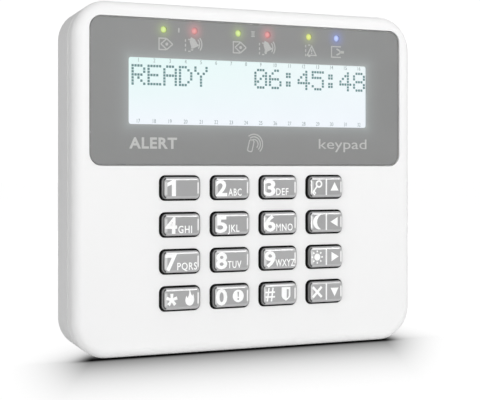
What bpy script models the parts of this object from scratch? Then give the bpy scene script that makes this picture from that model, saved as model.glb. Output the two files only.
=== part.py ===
"""Wall-mounted alarm keypad: a rear base, a hinged front cover, a two-line display and a field of keys.

Frame: metres, +Z up. The origin is the centre of the back face, which lies on the wall, and the front
faces -Y. A piece's depth is its distance from the wall towards the front, so y = -depth.
"""

import math

import bmesh
import bpy
from mathutils import Matrix

MM = 0.001
GAP = 0.3 * MM  # clearance between neighbouring pieces
PASS = 1 * MM  # how far a cutter runs past the face that it opens

# Case
CASE_WIDTH = 139 * MM
CASE_HEIGHT = 124 * MM
CASE_DEPTH = 22 * MM
CASE_CORNER_RADIUS = 13 * MM
FRONT_EDGE_RADIUS = 3.5 * MM
BACK_INSET = 2.1 * MM  # the sides draw in this far by the wall
DRAFT_END = CASE_DEPTH - FRONT_EDGE_RADIUS
WALL = 2 * MM
FLOOR = 2.2 * MM
SEAM = 14.05 * MM  # middle of the joint line between base and cover
BASE_RIM = SEAM - GAP / 2
COVER_RIM = SEAM + GAP / 2
PLATE_BACK = 19.4 * MM  # rear face of the cover's front plate

# Display window, let into the front plate
WINDOW_WIDTH = 127.4 * MM
WINDOW_HEIGHT = 51.4 * MM
WINDOW_CENTRE = (0, 30.7 * MM)
WINDOW_CORNER_RADIUS = 4.2 * MM
WINDOW_BACK = 20.8 * MM
WINDOW_FRONT = CASE_DEPTH - 0.1 * MM

# Liquid crystal display
LCD_CENTRE = (0, 31 * MM)
LCD_LIT_AREA = (102 * MM, 25.4 * MM)
LCD_GLASS = (104 * MM, 31 * MM)
LCD_GLASS_THICKNESS = 1.9 * MM
LCD_FRAME = (108 * MM, 35 * MM)
LCD_FRONT = WINDOW_BACK - GAP

# Status lamps
LAMP_HEIGHT = 52.8 * MM
LAMP_GROUP_PITCH = 29.75 * MM
LAMP_PAIR_SPACING = 12.1 * MM
LAMP_RADIUS = 1.5 * MM
LAMP_NAMES = (
    "lamp_area_1_green",
    "lamp_area_1_red",
    "lamp_area_2_green",
    "lamp_area_2_red",
    "lamp_trouble_yellow",
    "lamp_service_blue",
)

# Keys
KEY_ROWS = (
    ("key_1", "key_2", "key_3", "key_up"),
    ("key_4", "key_5", "key_6", "key_left"),
    ("key_7", "key_8", "key_9", "key_right"),
    ("key_star", "key_0", "key_hash", "key_down"),
)
KEY_COLUMN_PITCH = 19.9 * MM
KEY_ROW_PITCH = 13.02 * MM
KEY_FIRST_ROW = -3.1 * MM
KEY_OPENING = (16.1 * MM, 9.04 * MM)
KEY_OPENING_RADIUS = 2.3 * MM
KEY_SIDE_GAP = 0.5 * MM
KEY_PROUD = 1.8 * MM
KEY_EDGE_RADIUS = 1 * MM
KEY_TRAVEL = 1.2 * MM
FLANGE = (17.3 * MM, 10.4 * MM)
FLANGE_FRONT = PLATE_BACK - 0.8 * MM
FLANGE_BACK = FLANGE_FRONT - 1.6 * MM
STEM = (8.6 * MM, 4.4 * MM)

# Main circuit board
BOARD = (122 * MM, 112 * MM)
BOARD_BACK = 10.8 * MM
BOARD_FRONT = BOARD_BACK + 1.6 * MM
ON_FRONT = BOARD_FRONT + GAP  # where parts on the board's front start
ON_BACK = BOARD_BACK - GAP  # where parts on its back start
BOARD_SCREWS = ((-57 * MM, 51.5 * MM), (57 * MM, 51.5 * MM), (-57 * MM, -51.5 * MM), (57 * MM, -51.5 * MM))
STEM_BACK = ON_FRONT + KEY_TRAVEL

# Key mat
MAT = (89 * MM, 53 * MM)
MAT_THICKNESS = 0.9 * MM
MAT_DOME_FRONT = 15 * MM
MAT_DOME_FOOT = (13 * MM, 8.4 * MM)
MAT_DOME_TOP = (11.6 * MM, 7.2 * MM)

# Parts on the back of the board
TERMINAL_CENTRE = (-20 * MM, -19.5 * MM)
TERMINAL_PITCH = 5 * MM
TERMINAL_COUNT = 4
TERMINAL_BACK = 2.9 * MM
TAMPER_CENTRE = (44 * MM, -28 * MM)
TAMPER_TRAVEL = 1.5 * MM
PLUNGER_RADIUS = 1.5 * MM
BUZZER_CENTRE = (30 * MM, 22 * MM)
COIL_SIZE = (100 * MM, 48 * MM)
COIL_CENTRE = (0, 24 * MM)

# Rear base
WALL_SCREWS = ((-42 * MM, 40 * MM), (42 * MM, 40 * MM), (-42 * MM, -40 * MM), (42 * MM, -40 * MM))
SCREW_SLOT = (8.5 * MM, 4.6 * MM)
CABLE_OPENING = (32 * MM, 18 * MM)
CABLE_OPENING_CENTRE = (-20 * MM, -37 * MM)

# Catches: hooks along the top edge and snap tabs along the bottom edge
CATCH_X = 35 * MM
CATCH_WIDTH = 10 * MM
CATCH_THICKNESS = 1 * MM
CATCH_FROM_EDGE = 3.3 * MM  # from the case's top or bottom line to the tab's outer face
HOOK_REACH = 2.1 * MM  # from the same line to the hook's tip
HOOK_BACK = 9.85 * MM
HOOK_LENGTH = 1 * MM
SLOT_SKIN = 1.7 * MM  # from the same line to the bottom of the base's slot
SLOT_BACK = 9.4 * MM
SLOT_FRONT = 12.3 * MM


def clear_scene():
    for obj in list(bpy.data.objects):
        bpy.data.objects.remove(obj, do_unlink=True)


def rounded_rectangle(size, radius, centre=(0, 0), steps=4):
    """Outline with round corners, as (x, z) points that run counter-clockwise seen from the front."""
    points = []
    for quadrant, (side_x, side_z) in enumerate(((1, 1), (-1, 1), (-1, -1), (1, -1))):
        corner_x = centre[0] + side_x * (size[0] / 2 - radius)
        corner_z = centre[1] + side_z * (size[1] / 2 - radius)
        for step in range(steps + 1):
            angle = math.pi / 2 * (quadrant + step / steps)
            points.append((corner_x + radius * math.cos(angle), corner_z + radius * math.sin(angle)))
    return points


def circle(radius, centre=(0, 0), steps=16):
    angles = [2 * math.pi * step / steps for step in range(steps)]
    return [(centre[0] + radius * math.cos(a), centre[1] + radius * math.sin(a)) for a in angles]


def rectangle(size, centre=(0, 0)):
    x, z = size[0] / 2, size[1] / 2
    return [(centre[0] + a, centre[1] + b) for a, b in ((x, -z), (x, z), (-x, z), (-x, -z))]


def grown(size, by):
    return (size[0] + 2 * by, size[1] + 2 * by)


def prism(outline, back, front):
    """Sections of a straight block between two depths."""
    return [(outline, back), (outline, front)]


def add_loft(bm, sections):
    """Adds a closed solid through sections, each (outline, depth), listed from the wall to the front."""
    rings = [[bm.verts.new((x, -depth, z)) for x, z in outline] for outline, depth in sections]
    bm.faces.new(list(reversed(rings[0])))
    for back, front in zip(rings, rings[1:]):
        for i in range(len(back)):
            j = (i + 1) % len(back)
            bm.faces.new((back[i], back[j], front[j], front[i]))
    bm.faces.new(rings[-1])


def add_bar(bm, profile, x_low, x_high):
    """Adds a bar along X, whose profile is (depth, z) points."""
    ends = [[bm.verts.new((x, -depth, z)) for depth, z in profile] for x in (x_low, x_high)]
    first = bm.faces.new(ends[0])
    last = bm.faces.new(list(reversed(ends[1])))
    sides = []
    for i in range(len(profile)):
        j = (i + 1) % len(profile)
        sides.append(bm.faces.new((ends[0][j], ends[0][i], ends[1][i], ends[1][j])))
    bmesh.ops.recalc_face_normals(bm, faces=[first, last, *sides])


def new_object(name, bm, material=None, smooth=False):
    mesh = bpy.data.meshes.new(name)
    bm.to_mesh(mesh)
    bm.free()
    if material:
        mesh.materials.append(material)
    if smooth:
        mesh.shade_smooth()
        mesh.set_sharp_from_angle(angle=math.radians(35))
    obj = bpy.data.objects.new(name, mesh)
    bpy.context.collection.objects.link(obj)
    return obj


def solid(name, shapes, material=None, smooth=False):
    """One object from one or more lofts, each given by its sections."""
    bm = bmesh.new()
    for sections in shapes:
        add_loft(bm, sections)
    return new_object(name, bm, material, smooth)


def combine(target, helper, operation):
    """Applies a helper object to the target with a Boolean, and hides the helper."""
    helper.hide_render = True
    helper.display_type = "WIRE"
    helper.parent = target
    modifier = target.modifiers.new(helper.name, "BOOLEAN")
    modifier.operation = operation
    modifier.object = helper
    modifier.solver = "EXACT"


def cut(target, shapes, name):
    combine(target, solid(name, shapes), "DIFFERENCE")


def principled(name, color, roughness, metallic=0.0, transmission=0.0, emission=0.0):
    material = bpy.data.materials.new(name)
    material.use_nodes = True
    shader = material.node_tree.nodes["Principled BSDF"]
    shader.inputs["Base Color"].default_value = (*color, 1)
    shader.inputs["Roughness"].default_value = roughness
    shader.inputs["Metallic"].default_value = metallic
    shader.inputs["Transmission Weight"].default_value = transmission
    shader.inputs["Emission Color"].default_value = (*color, 1)
    shader.inputs["Emission Strength"].default_value = emission
    return material


def make_materials():
    return {
        "case_white": principled("case_white", (0.86, 0.86, 0.85), 0.35),
        "window_grey": principled("window_grey", (0.27, 0.27, 0.28), 0.15),
        "key_grey": principled("key_grey", (0.36, 0.36, 0.36), 0.25),
        "mat_rubber": principled("mat_rubber", (0.12, 0.12, 0.13), 0.7),
        "board_green": principled("board_green", (0.02, 0.16, 0.06), 0.45),
        "lcd_glass": principled("lcd_glass", (0.75, 0.84, 0.9), 0.08, transmission=0.3),
        "light_guide": principled("light_guide", (0.85, 0.93, 1.0), 0.4, emission=1.0),
        "black_plastic": principled("black_plastic", (0.02, 0.02, 0.02), 0.45),
        "terminal_green": principled("terminal_green", (0.04, 0.3, 0.12), 0.4),
        "screw_steel": principled("screw_steel", (0.62, 0.62, 0.6), 0.3, metallic=1.0),
        "coil_copper": principled("coil_copper", (0.7, 0.28, 0.12), 0.3, metallic=1.0),
        "strip_rubber": principled("strip_rubber", (0.5, 0.3, 0.35), 0.7),
        "lamp_green": principled("lamp_green", (0.1, 0.8, 0.1), 0.2, transmission=0.5),
        "lamp_red": principled("lamp_red", (0.9, 0.05, 0.04), 0.2, transmission=0.5),
        "lamp_yellow": principled("lamp_yellow", (0.9, 0.7, 0.05), 0.2, transmission=0.5),
        "lamp_blue": principled("lamp_blue", (0.05, 0.15, 0.9), 0.2, transmission=0.5),
    }


def case_inset(depth):
    """How far the drafted side lies inside the case's full outline at this depth."""
    return BACK_INSET * max(0, 1 - depth / DRAFT_END)


def case_outline(inset):
    size = grown((CASE_WIDTH, CASE_HEIGHT), -inset)
    return rounded_rectangle(size, CASE_CORNER_RADIUS - inset, steps=6)


def catch_profile(edge, reach):
    """Tab with a lip at its rear end, beside a case edge at height edge (negative at the bottom)."""
    side = math.copysign(1, edge)
    outer = edge - side * CATCH_FROM_EDGE
    inner = outer - side * CATCH_THICKNESS
    root = edge - side * WALL
    lip_front = HOOK_BACK + HOOK_LENGTH
    tab_front = COVER_RIM + 3 * MM
    root_back = COVER_RIM + 0.4 * MM
    return [
        (HOOK_BACK, inner),
        (tab_front, inner),
        (tab_front, root),
        (root_back, root),
        (root_back, outer),
        (lip_front, outer),
        (lip_front, edge - side * reach),
        (HOOK_BACK, edge - side * reach),
    ]


def slot_bar(edge, front):
    """Rectangular profile of the pocket in the base's wall that takes a catch's lip."""
    side = math.copysign(1, edge)
    top = edge - side * SLOT_SKIN
    bottom = edge - side * (CATCH_FROM_EDGE + 0.5 * MM)
    return [(SLOT_BACK, bottom), (front, bottom), (front, top), (SLOT_BACK, top)]


def make_rear_base(materials):
    """Tray that is screwed to the wall. Its rim meets the cover at the seam."""
    edge_break = 0.6 * MM
    outer = [
        (case_outline(case_inset(0) + edge_break), 0),
        (case_outline(case_inset(edge_break)), edge_break),
        (case_outline(case_inset(BASE_RIM)), BASE_RIM),
    ]
    base = solid("rear_base", [outer], materials["case_white"])
    cavity = [
        (case_outline(case_inset(FLOOR) + WALL), FLOOR),
        (case_outline(case_inset(BASE_RIM) + WALL), BASE_RIM + PASS),
    ]
    floor_cuts = [prism(rounded_rectangle(CABLE_OPENING, 2 * MM, CABLE_OPENING_CENTRE), -PASS, FLOOR + PASS)]
    for centre in WALL_SCREWS:
        slot = rounded_rectangle(SCREW_SLOT, SCREW_SLOT[1] / 2 - 0.01 * MM, centre)
        floor_cuts.append(prism(slot, -PASS, FLOOR + PASS))
    cut(base, [cavity], "base_cavity_cutter")
    cut(base, floor_cuts, "base_floor_cutter")
    bm = bmesh.new()
    half_slot = CATCH_WIDTH / 2 + 1.5 * MM
    for x in (-CATCH_X, CATCH_X):
        add_bar(bm, slot_bar(CASE_HEIGHT / 2, SLOT_FRONT), x - half_slot, x + half_slot)
        add_bar(bm, slot_bar(-CASE_HEIGHT / 2, BASE_RIM + PASS), x - half_slot, x + half_slot)
    combine(base, new_object("base_slot_cutter", bm), "DIFFERENCE")
    return base


def key_centres():
    """Each key's name with its centre, row by row."""
    for row, names in enumerate(KEY_ROWS):
        for column, name in enumerate(names):
            x = KEY_COLUMN_PITCH * (column - 1.5)
            z = KEY_FIRST_ROW - KEY_ROW_PITCH * row
            yield name, (x, z)


def lamp_centres():
    """Each status lamp's name with its centre: three pairs along one line."""
    for index, name in enumerate(LAMP_NAMES):
        group = index // 2 - 1
        side = index % 2 - 0.5
        yield name, (LAMP_GROUP_PITCH * group + LAMP_PAIR_SPACING * side, LAMP_HEIGHT)


def make_front_cover(materials):
    """Hinged shell with the front plate, openings, screw bosses and catches."""
    outer = [(case_outline(case_inset(COVER_RIM)), COVER_RIM)]
    rounding_steps = 5
    for step in range(rounding_steps + 1):
        angle = math.pi / 2 * step / rounding_steps
        inset = FRONT_EDGE_RADIUS * (1 - math.cos(angle))
        outer.append((case_outline(inset), DRAFT_END + FRONT_EDGE_RADIUS * math.sin(angle)))
    cover = solid("front_cover", [outer], materials["case_white"], smooth=True)
    cavity = [
        (case_outline(case_inset(COVER_RIM) + WALL), COVER_RIM - PASS),
        (case_outline(WALL + 0.2 * MM), PLATE_BACK - 1 * MM),
        (case_outline(WALL + 1.2 * MM), PLATE_BACK),
    ]
    cut(cover, [cavity], "cover_cavity_cutter")
    bm = bmesh.new()
    for centre in BOARD_SCREWS:
        add_loft(bm, prism(circle(3 * MM, centre), ON_FRONT, PLATE_BACK + 0.5 * MM))
    half_catch = CATCH_WIDTH / 2
    for x in (-CATCH_X, CATCH_X):
        for edge in (CASE_HEIGHT / 2, -CASE_HEIGHT / 2):
            add_bar(bm, catch_profile(edge, HOOK_REACH), x - half_catch, x + half_catch)
    combine(cover, new_object("cover_boss_and_catch_helper", bm), "UNION")
    openings = [prism(circle(1.4 * MM, centre, 12), ON_FRONT - PASS, 17.8 * MM) for centre in BOARD_SCREWS]
    for _, centre in key_centres():
        outline = rounded_rectangle(KEY_OPENING, KEY_OPENING_RADIUS, centre)
        openings.append(prism(outline, PLATE_BACK - PASS, CASE_DEPTH + PASS))
    cut(cover, openings, "cover_opening_cutter")
    recess_size = grown((WINDOW_WIDTH, WINDOW_HEIGHT), GAP)
    recess = rounded_rectangle(recess_size, WINDOW_CORNER_RADIUS + GAP, WINDOW_CENTRE, 6)
    cut(cover, [prism(recess, WINDOW_BACK - GAP, CASE_DEPTH + PASS)], "window_recess_cutter")
    display_opening = rounded_rectangle(grown(LCD_FRAME, 2 * GAP), 1.5 * MM, LCD_CENTRE)
    behind_window = [prism(display_opening, PLATE_BACK - PASS, CASE_DEPTH)]
    for _, centre in lamp_centres():
        behind_window.append(prism(circle(LAMP_RADIUS + 0.4 * MM, centre, 12), PLATE_BACK - PASS, CASE_DEPTH))
    cut(cover, behind_window, "display_opening_cutter")
    return cover


def make_display_window(materials):
    outline = rounded_rectangle((WINDOW_WIDTH, WINDOW_HEIGHT), WINDOW_CORNER_RADIUS, WINDOW_CENTRE, 6)
    return [solid("display_window", [prism(outline, WINDOW_BACK, WINDOW_FRONT)], materials["window_grey"])]


def make_display_module(materials):
    """Frame, glass, light guide and the two rubber strips that connect the glass to the board."""
    glass_back = LCD_FRONT - LCD_GLASS_THICKNESS
    frame = solid(
        "lcd_frame",
        [prism(rounded_rectangle(LCD_FRAME, 1 * MM, LCD_CENTRE), ON_FRONT, LCD_FRONT)],
        materials["black_plastic"],
    )
    hollow = rectangle(grown(LCD_GLASS, GAP), LCD_CENTRE)
    cut(frame, [prism(hollow, ON_FRONT - PASS, LCD_FRONT + PASS)], "lcd_frame_cutter")
    glass = solid(
        "lcd_glass",
        [prism(rectangle(LCD_GLASS, LCD_CENTRE), glass_back, LCD_FRONT)],
        materials["lcd_glass"],
    )
    guide = solid(
        "lcd_light_guide",
        [prism(rectangle(LCD_LIT_AREA, LCD_CENTRE), ON_FRONT, glass_back - GAP)],
        materials["light_guide"],
    )
    pieces = [frame, glass, guide]
    strip_size = (96 * MM, 1.6 * MM)
    strip_offset = LCD_GLASS[1] / 2 - strip_size[1] / 2 - 0.5 * MM
    for name, side in (("lcd_upper_contact_strip", 1), ("lcd_lower_contact_strip", -1)):
        outline = rectangle(strip_size, (LCD_CENTRE[0], LCD_CENTRE[1] + side * strip_offset))
        pieces.append(solid(name, [prism(outline, ON_FRONT, glass_back - GAP)], materials["strip_rubber"]))
    return pieces


def make_status_lamps(materials):
    """Domed lamps and the black block that keeps each lamp's light to itself."""
    collar_front = ON_FRONT + 1.1 * MM
    dome_start = 17.4 * MM
    pieces = []
    wells = []
    for name, centre in lamp_centres():
        sections = prism(circle(LAMP_RADIUS + 0.4 * MM, centre, 12), ON_FRONT, collar_front)
        sections.append((circle(LAMP_RADIUS, centre, 12), collar_front))
        for angle in (0, math.radians(35), math.radians(70)):
            outline = circle(LAMP_RADIUS * math.cos(angle), centre, 12)
            sections.append((outline, dome_start + LAMP_RADIUS * math.sin(angle)))
        color = name.rsplit("_", 1)[1]
        pieces.append(solid(name, [sections], materials["lamp_" + color], smooth=True))
        wells.append(prism(circle(LAMP_RADIUS + 0.4 * MM + GAP, centre, 12), ON_FRONT - PASS, PLATE_BACK + PASS))
    outline = rounded_rectangle((82 * MM, 6 * MM), 0.8 * MM, (0, LAMP_HEIGHT), 2)
    block = prism(outline, ON_FRONT, PLATE_BACK - GAP)
    shield = solid("lamp_light_shield", [block], materials["black_plastic"])
    cut(shield, wells, "lamp_well_cutter")
    pieces.append(shield)
    return pieces


def key_sections():
    """Stem, retaining flange and head of a key, about its own centre on the case's front plane."""
    head = grown(KEY_OPENING, -KEY_SIDE_GAP)
    head_radius = KEY_OPENING_RADIUS - KEY_SIDE_GAP
    stem = rounded_rectangle(STEM, 0.8 * MM, steps=3)
    flange = rounded_rectangle(FLANGE, 1.5 * MM, steps=3)
    sections = [
        (stem, STEM_BACK),
        (stem, FLANGE_BACK),
        (flange, FLANGE_BACK),
        (flange, FLANGE_FRONT),
        (rounded_rectangle(head, head_radius, steps=3), FLANGE_FRONT),
    ]
    top = CASE_DEPTH + KEY_PROUD - KEY_EDGE_RADIUS
    for angle in (0, math.pi / 4, math.pi / 2):
        inset = KEY_EDGE_RADIUS * (1 - math.cos(angle))
        outline = rounded_rectangle(grown(head, -inset), head_radius - inset, steps=3)
        sections.append((outline, top + KEY_EDGE_RADIUS * math.sin(angle)))
    return [(outline, depth - CASE_DEPTH) for outline, depth in sections]


def make_keys(materials):
    """Every key shares one mesh, and its origin is on its own sliding axis."""
    bm = bmesh.new()
    add_loft(bm, key_sections())
    pattern = new_object("key_pattern", bm, materials["key_grey"], smooth=True)
    keys = []
    for name, (x, z) in key_centres():
        key = bpy.data.objects.new(name, pattern.data)
        key.location = (x, -CASE_DEPTH, z)
        bpy.context.collection.objects.link(key)
        keys.append(key)
    bpy.data.objects.remove(pattern)
    return keys


def make_key_mat(materials):
    """Rubber sheet on the board, with a raised collar around each key's stem."""
    _, first = next(key_centres())
    mat_centre = (0, first[1] - 1.5 * KEY_ROW_PITCH)
    outline = rounded_rectangle(MAT, 2 * MM, mat_centre, 3)
    mat = solid("key_mat", [prism(outline, ON_FRONT, ON_FRONT + MAT_THICKNESS)], materials["mat_rubber"])
    collars = []
    holes = []
    for _, centre in key_centres():
        foot = rounded_rectangle(MAT_DOME_FOOT, 1.6 * MM, centre, 2)
        top = rounded_rectangle(MAT_DOME_TOP, 1.2 * MM, centre, 2)
        collars.append([(foot, ON_FRONT + MAT_THICKNESS / 2), (foot, ON_FRONT + 1.2 * MM), (top, MAT_DOME_FRONT)])
        hole = rounded_rectangle(grown(STEM, 0.5 * MM), 1 * MM, centre, 2)
        holes.append(prism(hole, ON_FRONT - PASS, MAT_DOME_FRONT + PASS))
    combine(mat, solid("mat_collar_helper", collars), "UNION")
    cut(mat, holes, "mat_hole_cutter")
    return [mat]


def make_board(materials):
    board = solid(
        "main_circuit_board",
        [prism(rounded_rectangle(BOARD, 3 * MM, steps=3), BOARD_BACK, BOARD_FRONT)],
        materials["board_green"],
    )
    holes = [prism(circle(1.5 * MM, centre, 12), BOARD_BACK - PASS, BOARD_FRONT + PASS) for centre in BOARD_SCREWS]
    cut(board, holes, "board_hole_cutter")
    pieces = [board]
    head_front = ON_BACK
    head_back = head_front - 1.8 * MM
    for index, centre in enumerate(BOARD_SCREWS, 1):
        sections = [
            (circle(2 * MM, centre, 12), head_back),
            (circle(2.7 * MM, centre, 12), head_back + 0.7 * MM),
            (circle(2.7 * MM, centre, 12), head_front),
            (circle(1.1 * MM, centre, 12), head_front),
            (circle(1.1 * MM, centre, 12), 17.4 * MM),
        ]
        pieces.append(solid(f"board_screw_{index}", [sections], materials["screw_steel"], smooth=True))
    return pieces


def make_terminal_block(materials):
    """Row of wire clamps on the back of the board: screws face the wall, wires enter from below."""
    size = (TERMINAL_PITCH * TERMINAL_COUNT + 1 * MM, 9 * MM)
    outline = rectangle(size, TERMINAL_CENTRE)
    block = solid("terminal_block", [prism(outline, TERMINAL_BACK, ON_BACK)], materials["terminal_green"])
    well_front = TERMINAL_BACK + 2.6 * MM
    well_z = TERMINAL_CENTRE[1] + 1 * MM
    entry_height = 4.5 * MM
    entry_z = TERMINAL_CENTRE[1] - size[1] / 2
    cuts = []
    pieces = [block]
    for index in range(TERMINAL_COUNT):
        x = TERMINAL_CENTRE[0] + TERMINAL_PITCH * (index - (TERMINAL_COUNT - 1) / 2)
        cuts.append(prism(circle(1.9 * MM, (x, well_z), 12), TERMINAL_BACK - PASS, well_front))
        entry = rectangle((3.2 * MM, 2 * entry_height), (x, entry_z))
        cuts.append(prism(entry, well_front + 0.6 * MM, well_front + 3.8 * MM))
        sections = prism(circle(1.5 * MM, (x, well_z), 12), TERMINAL_BACK + 0.6 * MM, well_front - GAP)
        pieces.append(solid(f"terminal_screw_{index + 1}", [sections], materials["screw_steel"], smooth=True))
    cut(block, cuts, "terminal_cutter")
    return pieces


def make_tamper_switch(materials):
    """Switch body on the board. Its plunger, made on its own, touches the base while the cover is shut."""
    back = 6.5 * MM
    outline = rounded_rectangle((7 * MM, 7 * MM), 0.5 * MM, TAMPER_CENTRE, 1)
    switch = solid("tamper_switch", [prism(outline, back, ON_BACK)], materials["black_plastic"])
    bore = circle(PLUNGER_RADIUS + GAP, TAMPER_CENTRE, 12)
    cut(switch, [prism(bore, back - PASS, 9.6 * MM)], "tamper_bore_cutter")
    return [switch]


def make_tamper_plunger(materials):
    """Its origin is on its sliding axis, at the tip that meets the base's floor."""
    tip = FLOOR + GAP
    length = 6.7 * MM
    sections = [
        (circle(PLUNGER_RADIUS - 0.5 * MM, steps=12), 0),
        (circle(PLUNGER_RADIUS, steps=12), 0.5 * MM),
        (circle(PLUNGER_RADIUS, steps=12), length),
    ]
    plunger = solid("tamper_plunger", [sections], materials["screw_steel"], smooth=True)
    plunger.location = (TAMPER_CENTRE[0], -tip, TAMPER_CENTRE[1])
    return [plunger]


def make_buzzer(materials):
    back = 4.5 * MM
    sections = [
        (circle(7.9 * MM, BUZZER_CENTRE, 24), back),
        (circle(8.5 * MM, BUZZER_CENTRE, 24), back + 0.6 * MM),
        (circle(8.5 * MM, BUZZER_CENTRE, 24), ON_BACK),
    ]
    buzzer = solid("buzzer", [sections], materials["black_plastic"], smooth=True)
    cut(buzzer, [prism(circle(1.2 * MM, BUZZER_CENTRE, 12), back - PASS, back + 2 * MM)], "buzzer_port_cutter")
    return [buzzer]


def make_reader_coil(materials):
    """Flat aerial of the tag reader, a wound frame on the back of the board."""
    width = 1.8 * MM
    back = ON_BACK - 1.3 * MM
    outline = rounded_rectangle(COIL_SIZE, 3 * MM, COIL_CENTRE, 3)
    coil = solid("reader_coil", [prism(outline, back, ON_BACK)], materials["coil_copper"])
    inside = rounded_rectangle(grown(COIL_SIZE, -width), 3 * MM - width, COIL_CENTRE, 3)
    cut(coil, [prism(inside, back - PASS, ON_BACK + PASS)], "coil_window_cutter")
    return [coil]


def make_small_electronics(materials):
    """Packages soldered to the back of the board, each a plain bevelled body."""
    black = materials["black_plastic"]
    steel = materials["screw_steel"]
    blocks = (
        ("microcontroller", (12 * MM, 12 * MM), (0, 24 * MM), 1.5 * MM, black),
        ("quartz_crystal", (11 * MM, 4.6 * MM), (-16 * MM, 24 * MM), 3.4 * MM, steel),
        ("voltage_regulator", (6.6 * MM, 6.2 * MM), (-42 * MM, -12 * MM), 2.3 * MM, black),
        ("bus_driver_chip", (5 * MM, 4 * MM), (-4 * MM, -14 * MM), 1.6 * MM, black),
    )
    pieces = []
    for name, size, centre, height, material in blocks:
        bevel = 0.3 * MM
        sections = [
            (rounded_rectangle(grown(size, -bevel), 0.4 * MM, centre, 1), ON_BACK - height),
            (rounded_rectangle(size, 0.5 * MM, centre, 1), ON_BACK - height + bevel),
            (rounded_rectangle(size, 0.5 * MM, centre, 1), ON_BACK),
        ]
        pieces.append(solid(name, [sections], material))
    centre = (-52 * MM, -14 * MM)
    sections = [
        (circle(2.9 * MM, centre), 4.2 * MM),
        (circle(3.2 * MM, centre), 4.5 * MM),
        (circle(3.2 * MM, centre), ON_BACK),
    ]
    pieces.append(solid("electrolytic_capacitor", [sections], steel, smooth=True))
    return pieces


def make_pin_header(materials):
    """Service header: a plastic strip with a row of pins that point at the wall."""
    pitch = 2.54 * MM
    count = 5
    centre = (12 * MM, -42 * MM)
    block_back = ON_BACK - 2.5 * MM
    outline = rectangle((pitch * count, 2.5 * MM), centre)
    header = solid("service_pin_header", [prism(outline, block_back, ON_BACK)], materials["black_plastic"])
    pins = []
    for index in range(count):
        x = centre[0] + pitch * (index - (count - 1) / 2)
        pins.append(prism(rectangle((0.64 * MM, 0.64 * MM), (x, centre[1])), 3.5 * MM, ON_BACK - 1 * MM))
    combine(header, solid("header_pin_helper", pins), "UNION")
    return [header]


def make_hinge_empty():
    """Empty on the line that the cover turns about: the seam along the case's top edge."""
    hinge = bpy.data.objects.new("cover_hinge_axis", None)
    hinge.location = (0, -SEAM, CASE_HEIGHT / 2 - case_inset(SEAM))
    bpy.context.collection.objects.link(hinge)
    return hinge


def attach(pieces, parent):
    """Parents the pieces without moving them. The parent is only translated."""
    for piece in pieces:
        piece.parent = parent
        piece.matrix_parent_inverse = Matrix.Translation(-parent.location)


def main():
    clear_scene()
    bpy.context.scene.unit_settings.system = "METRIC"
    materials = make_materials()
    make_rear_base(materials)
    on_cover = [make_front_cover(materials)]
    for make in (
        make_display_window,
        make_display_module,
        make_status_lamps,
        make_key_mat,
        make_board,
        make_terminal_block,
        make_tamper_switch,
        make_buzzer,
        make_reader_coil,
        make_small_electronics,
        make_pin_header,
        make_keys,
        make_tamper_plunger,
    ):
        on_cover += make(materials)
    attach(on_cover, make_hinge_empty())


main()
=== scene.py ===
"""The looks of an alarm keypad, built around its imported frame.

Lengths are millimetres, and are turned into metres where they enter a mesh or a place. Only the lights and
the camera are set in metres. The keypad faces -Y: a point's depth is its distance from the wall, so
y = -depth. Flat outlines are lists of (x, z) points, counter-clockwise as seen from the front.
"""
import math
from dataclasses import dataclass

import bmesh
import bpy
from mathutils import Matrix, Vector
from mathutils.geometry import tessellate_polygon


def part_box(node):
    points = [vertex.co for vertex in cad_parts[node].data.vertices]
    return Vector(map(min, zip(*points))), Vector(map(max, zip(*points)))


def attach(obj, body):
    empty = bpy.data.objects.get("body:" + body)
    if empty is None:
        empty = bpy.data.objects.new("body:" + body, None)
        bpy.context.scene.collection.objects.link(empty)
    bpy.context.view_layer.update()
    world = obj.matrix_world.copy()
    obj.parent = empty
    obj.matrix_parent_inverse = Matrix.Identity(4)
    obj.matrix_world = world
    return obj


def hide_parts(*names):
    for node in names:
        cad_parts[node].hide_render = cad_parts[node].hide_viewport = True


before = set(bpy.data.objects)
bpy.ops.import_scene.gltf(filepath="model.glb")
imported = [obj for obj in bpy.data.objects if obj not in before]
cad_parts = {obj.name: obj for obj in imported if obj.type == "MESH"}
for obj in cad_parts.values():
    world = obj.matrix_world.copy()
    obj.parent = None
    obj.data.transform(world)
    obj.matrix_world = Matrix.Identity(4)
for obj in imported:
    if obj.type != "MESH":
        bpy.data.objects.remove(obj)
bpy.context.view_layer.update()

MM = 0.001


@dataclass
class Box:
    """A CAD node's box, with depths in place of y."""

    left: float
    right: float
    bottom: float
    top: float
    back: float
    front: float

    @property
    def centre(self):
        return ((self.left + self.right) / 2, (self.bottom + self.top) / 2)

    @property
    def size(self):
        return (self.right - self.left, self.top - self.bottom)


def box_of(node):
    low, high = (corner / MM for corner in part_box(node))
    return Box(low.x, high.x, low.z, high.z, -high.y, -low.y)


# Places that come from the frame
COVER = box_of("front_cover")
BASE = box_of("rear_base")
WINDOW = box_of("display_window")
GLASS = box_of("lcd_glass")
BOARD = box_of("main_circuit_board")
MAT = box_of("key_mat")
FACE = COVER.front
COVER_RIM = BASE.front + 0.3
INK = 0.02  # how far print stands on its surface
KEY_TOP = box_of("key_1").front - INK  # the legends stand on it
KEYS = [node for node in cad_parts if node.startswith("key_") and node != "key_mat"]
LAMPS = {
    node: (box_of(node).centre, node.rsplit("_", 1)[1])
    for node in ("lamp_area_1_green", "lamp_area_1_red", "lamp_area_2_green", "lamp_area_2_red",
                 "lamp_trouble_yellow", "lamp_service_blue")
}
BOSSES = [box_of(f"board_screw_{index}").centre for index in (1, 2, 3, 4)]

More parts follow.
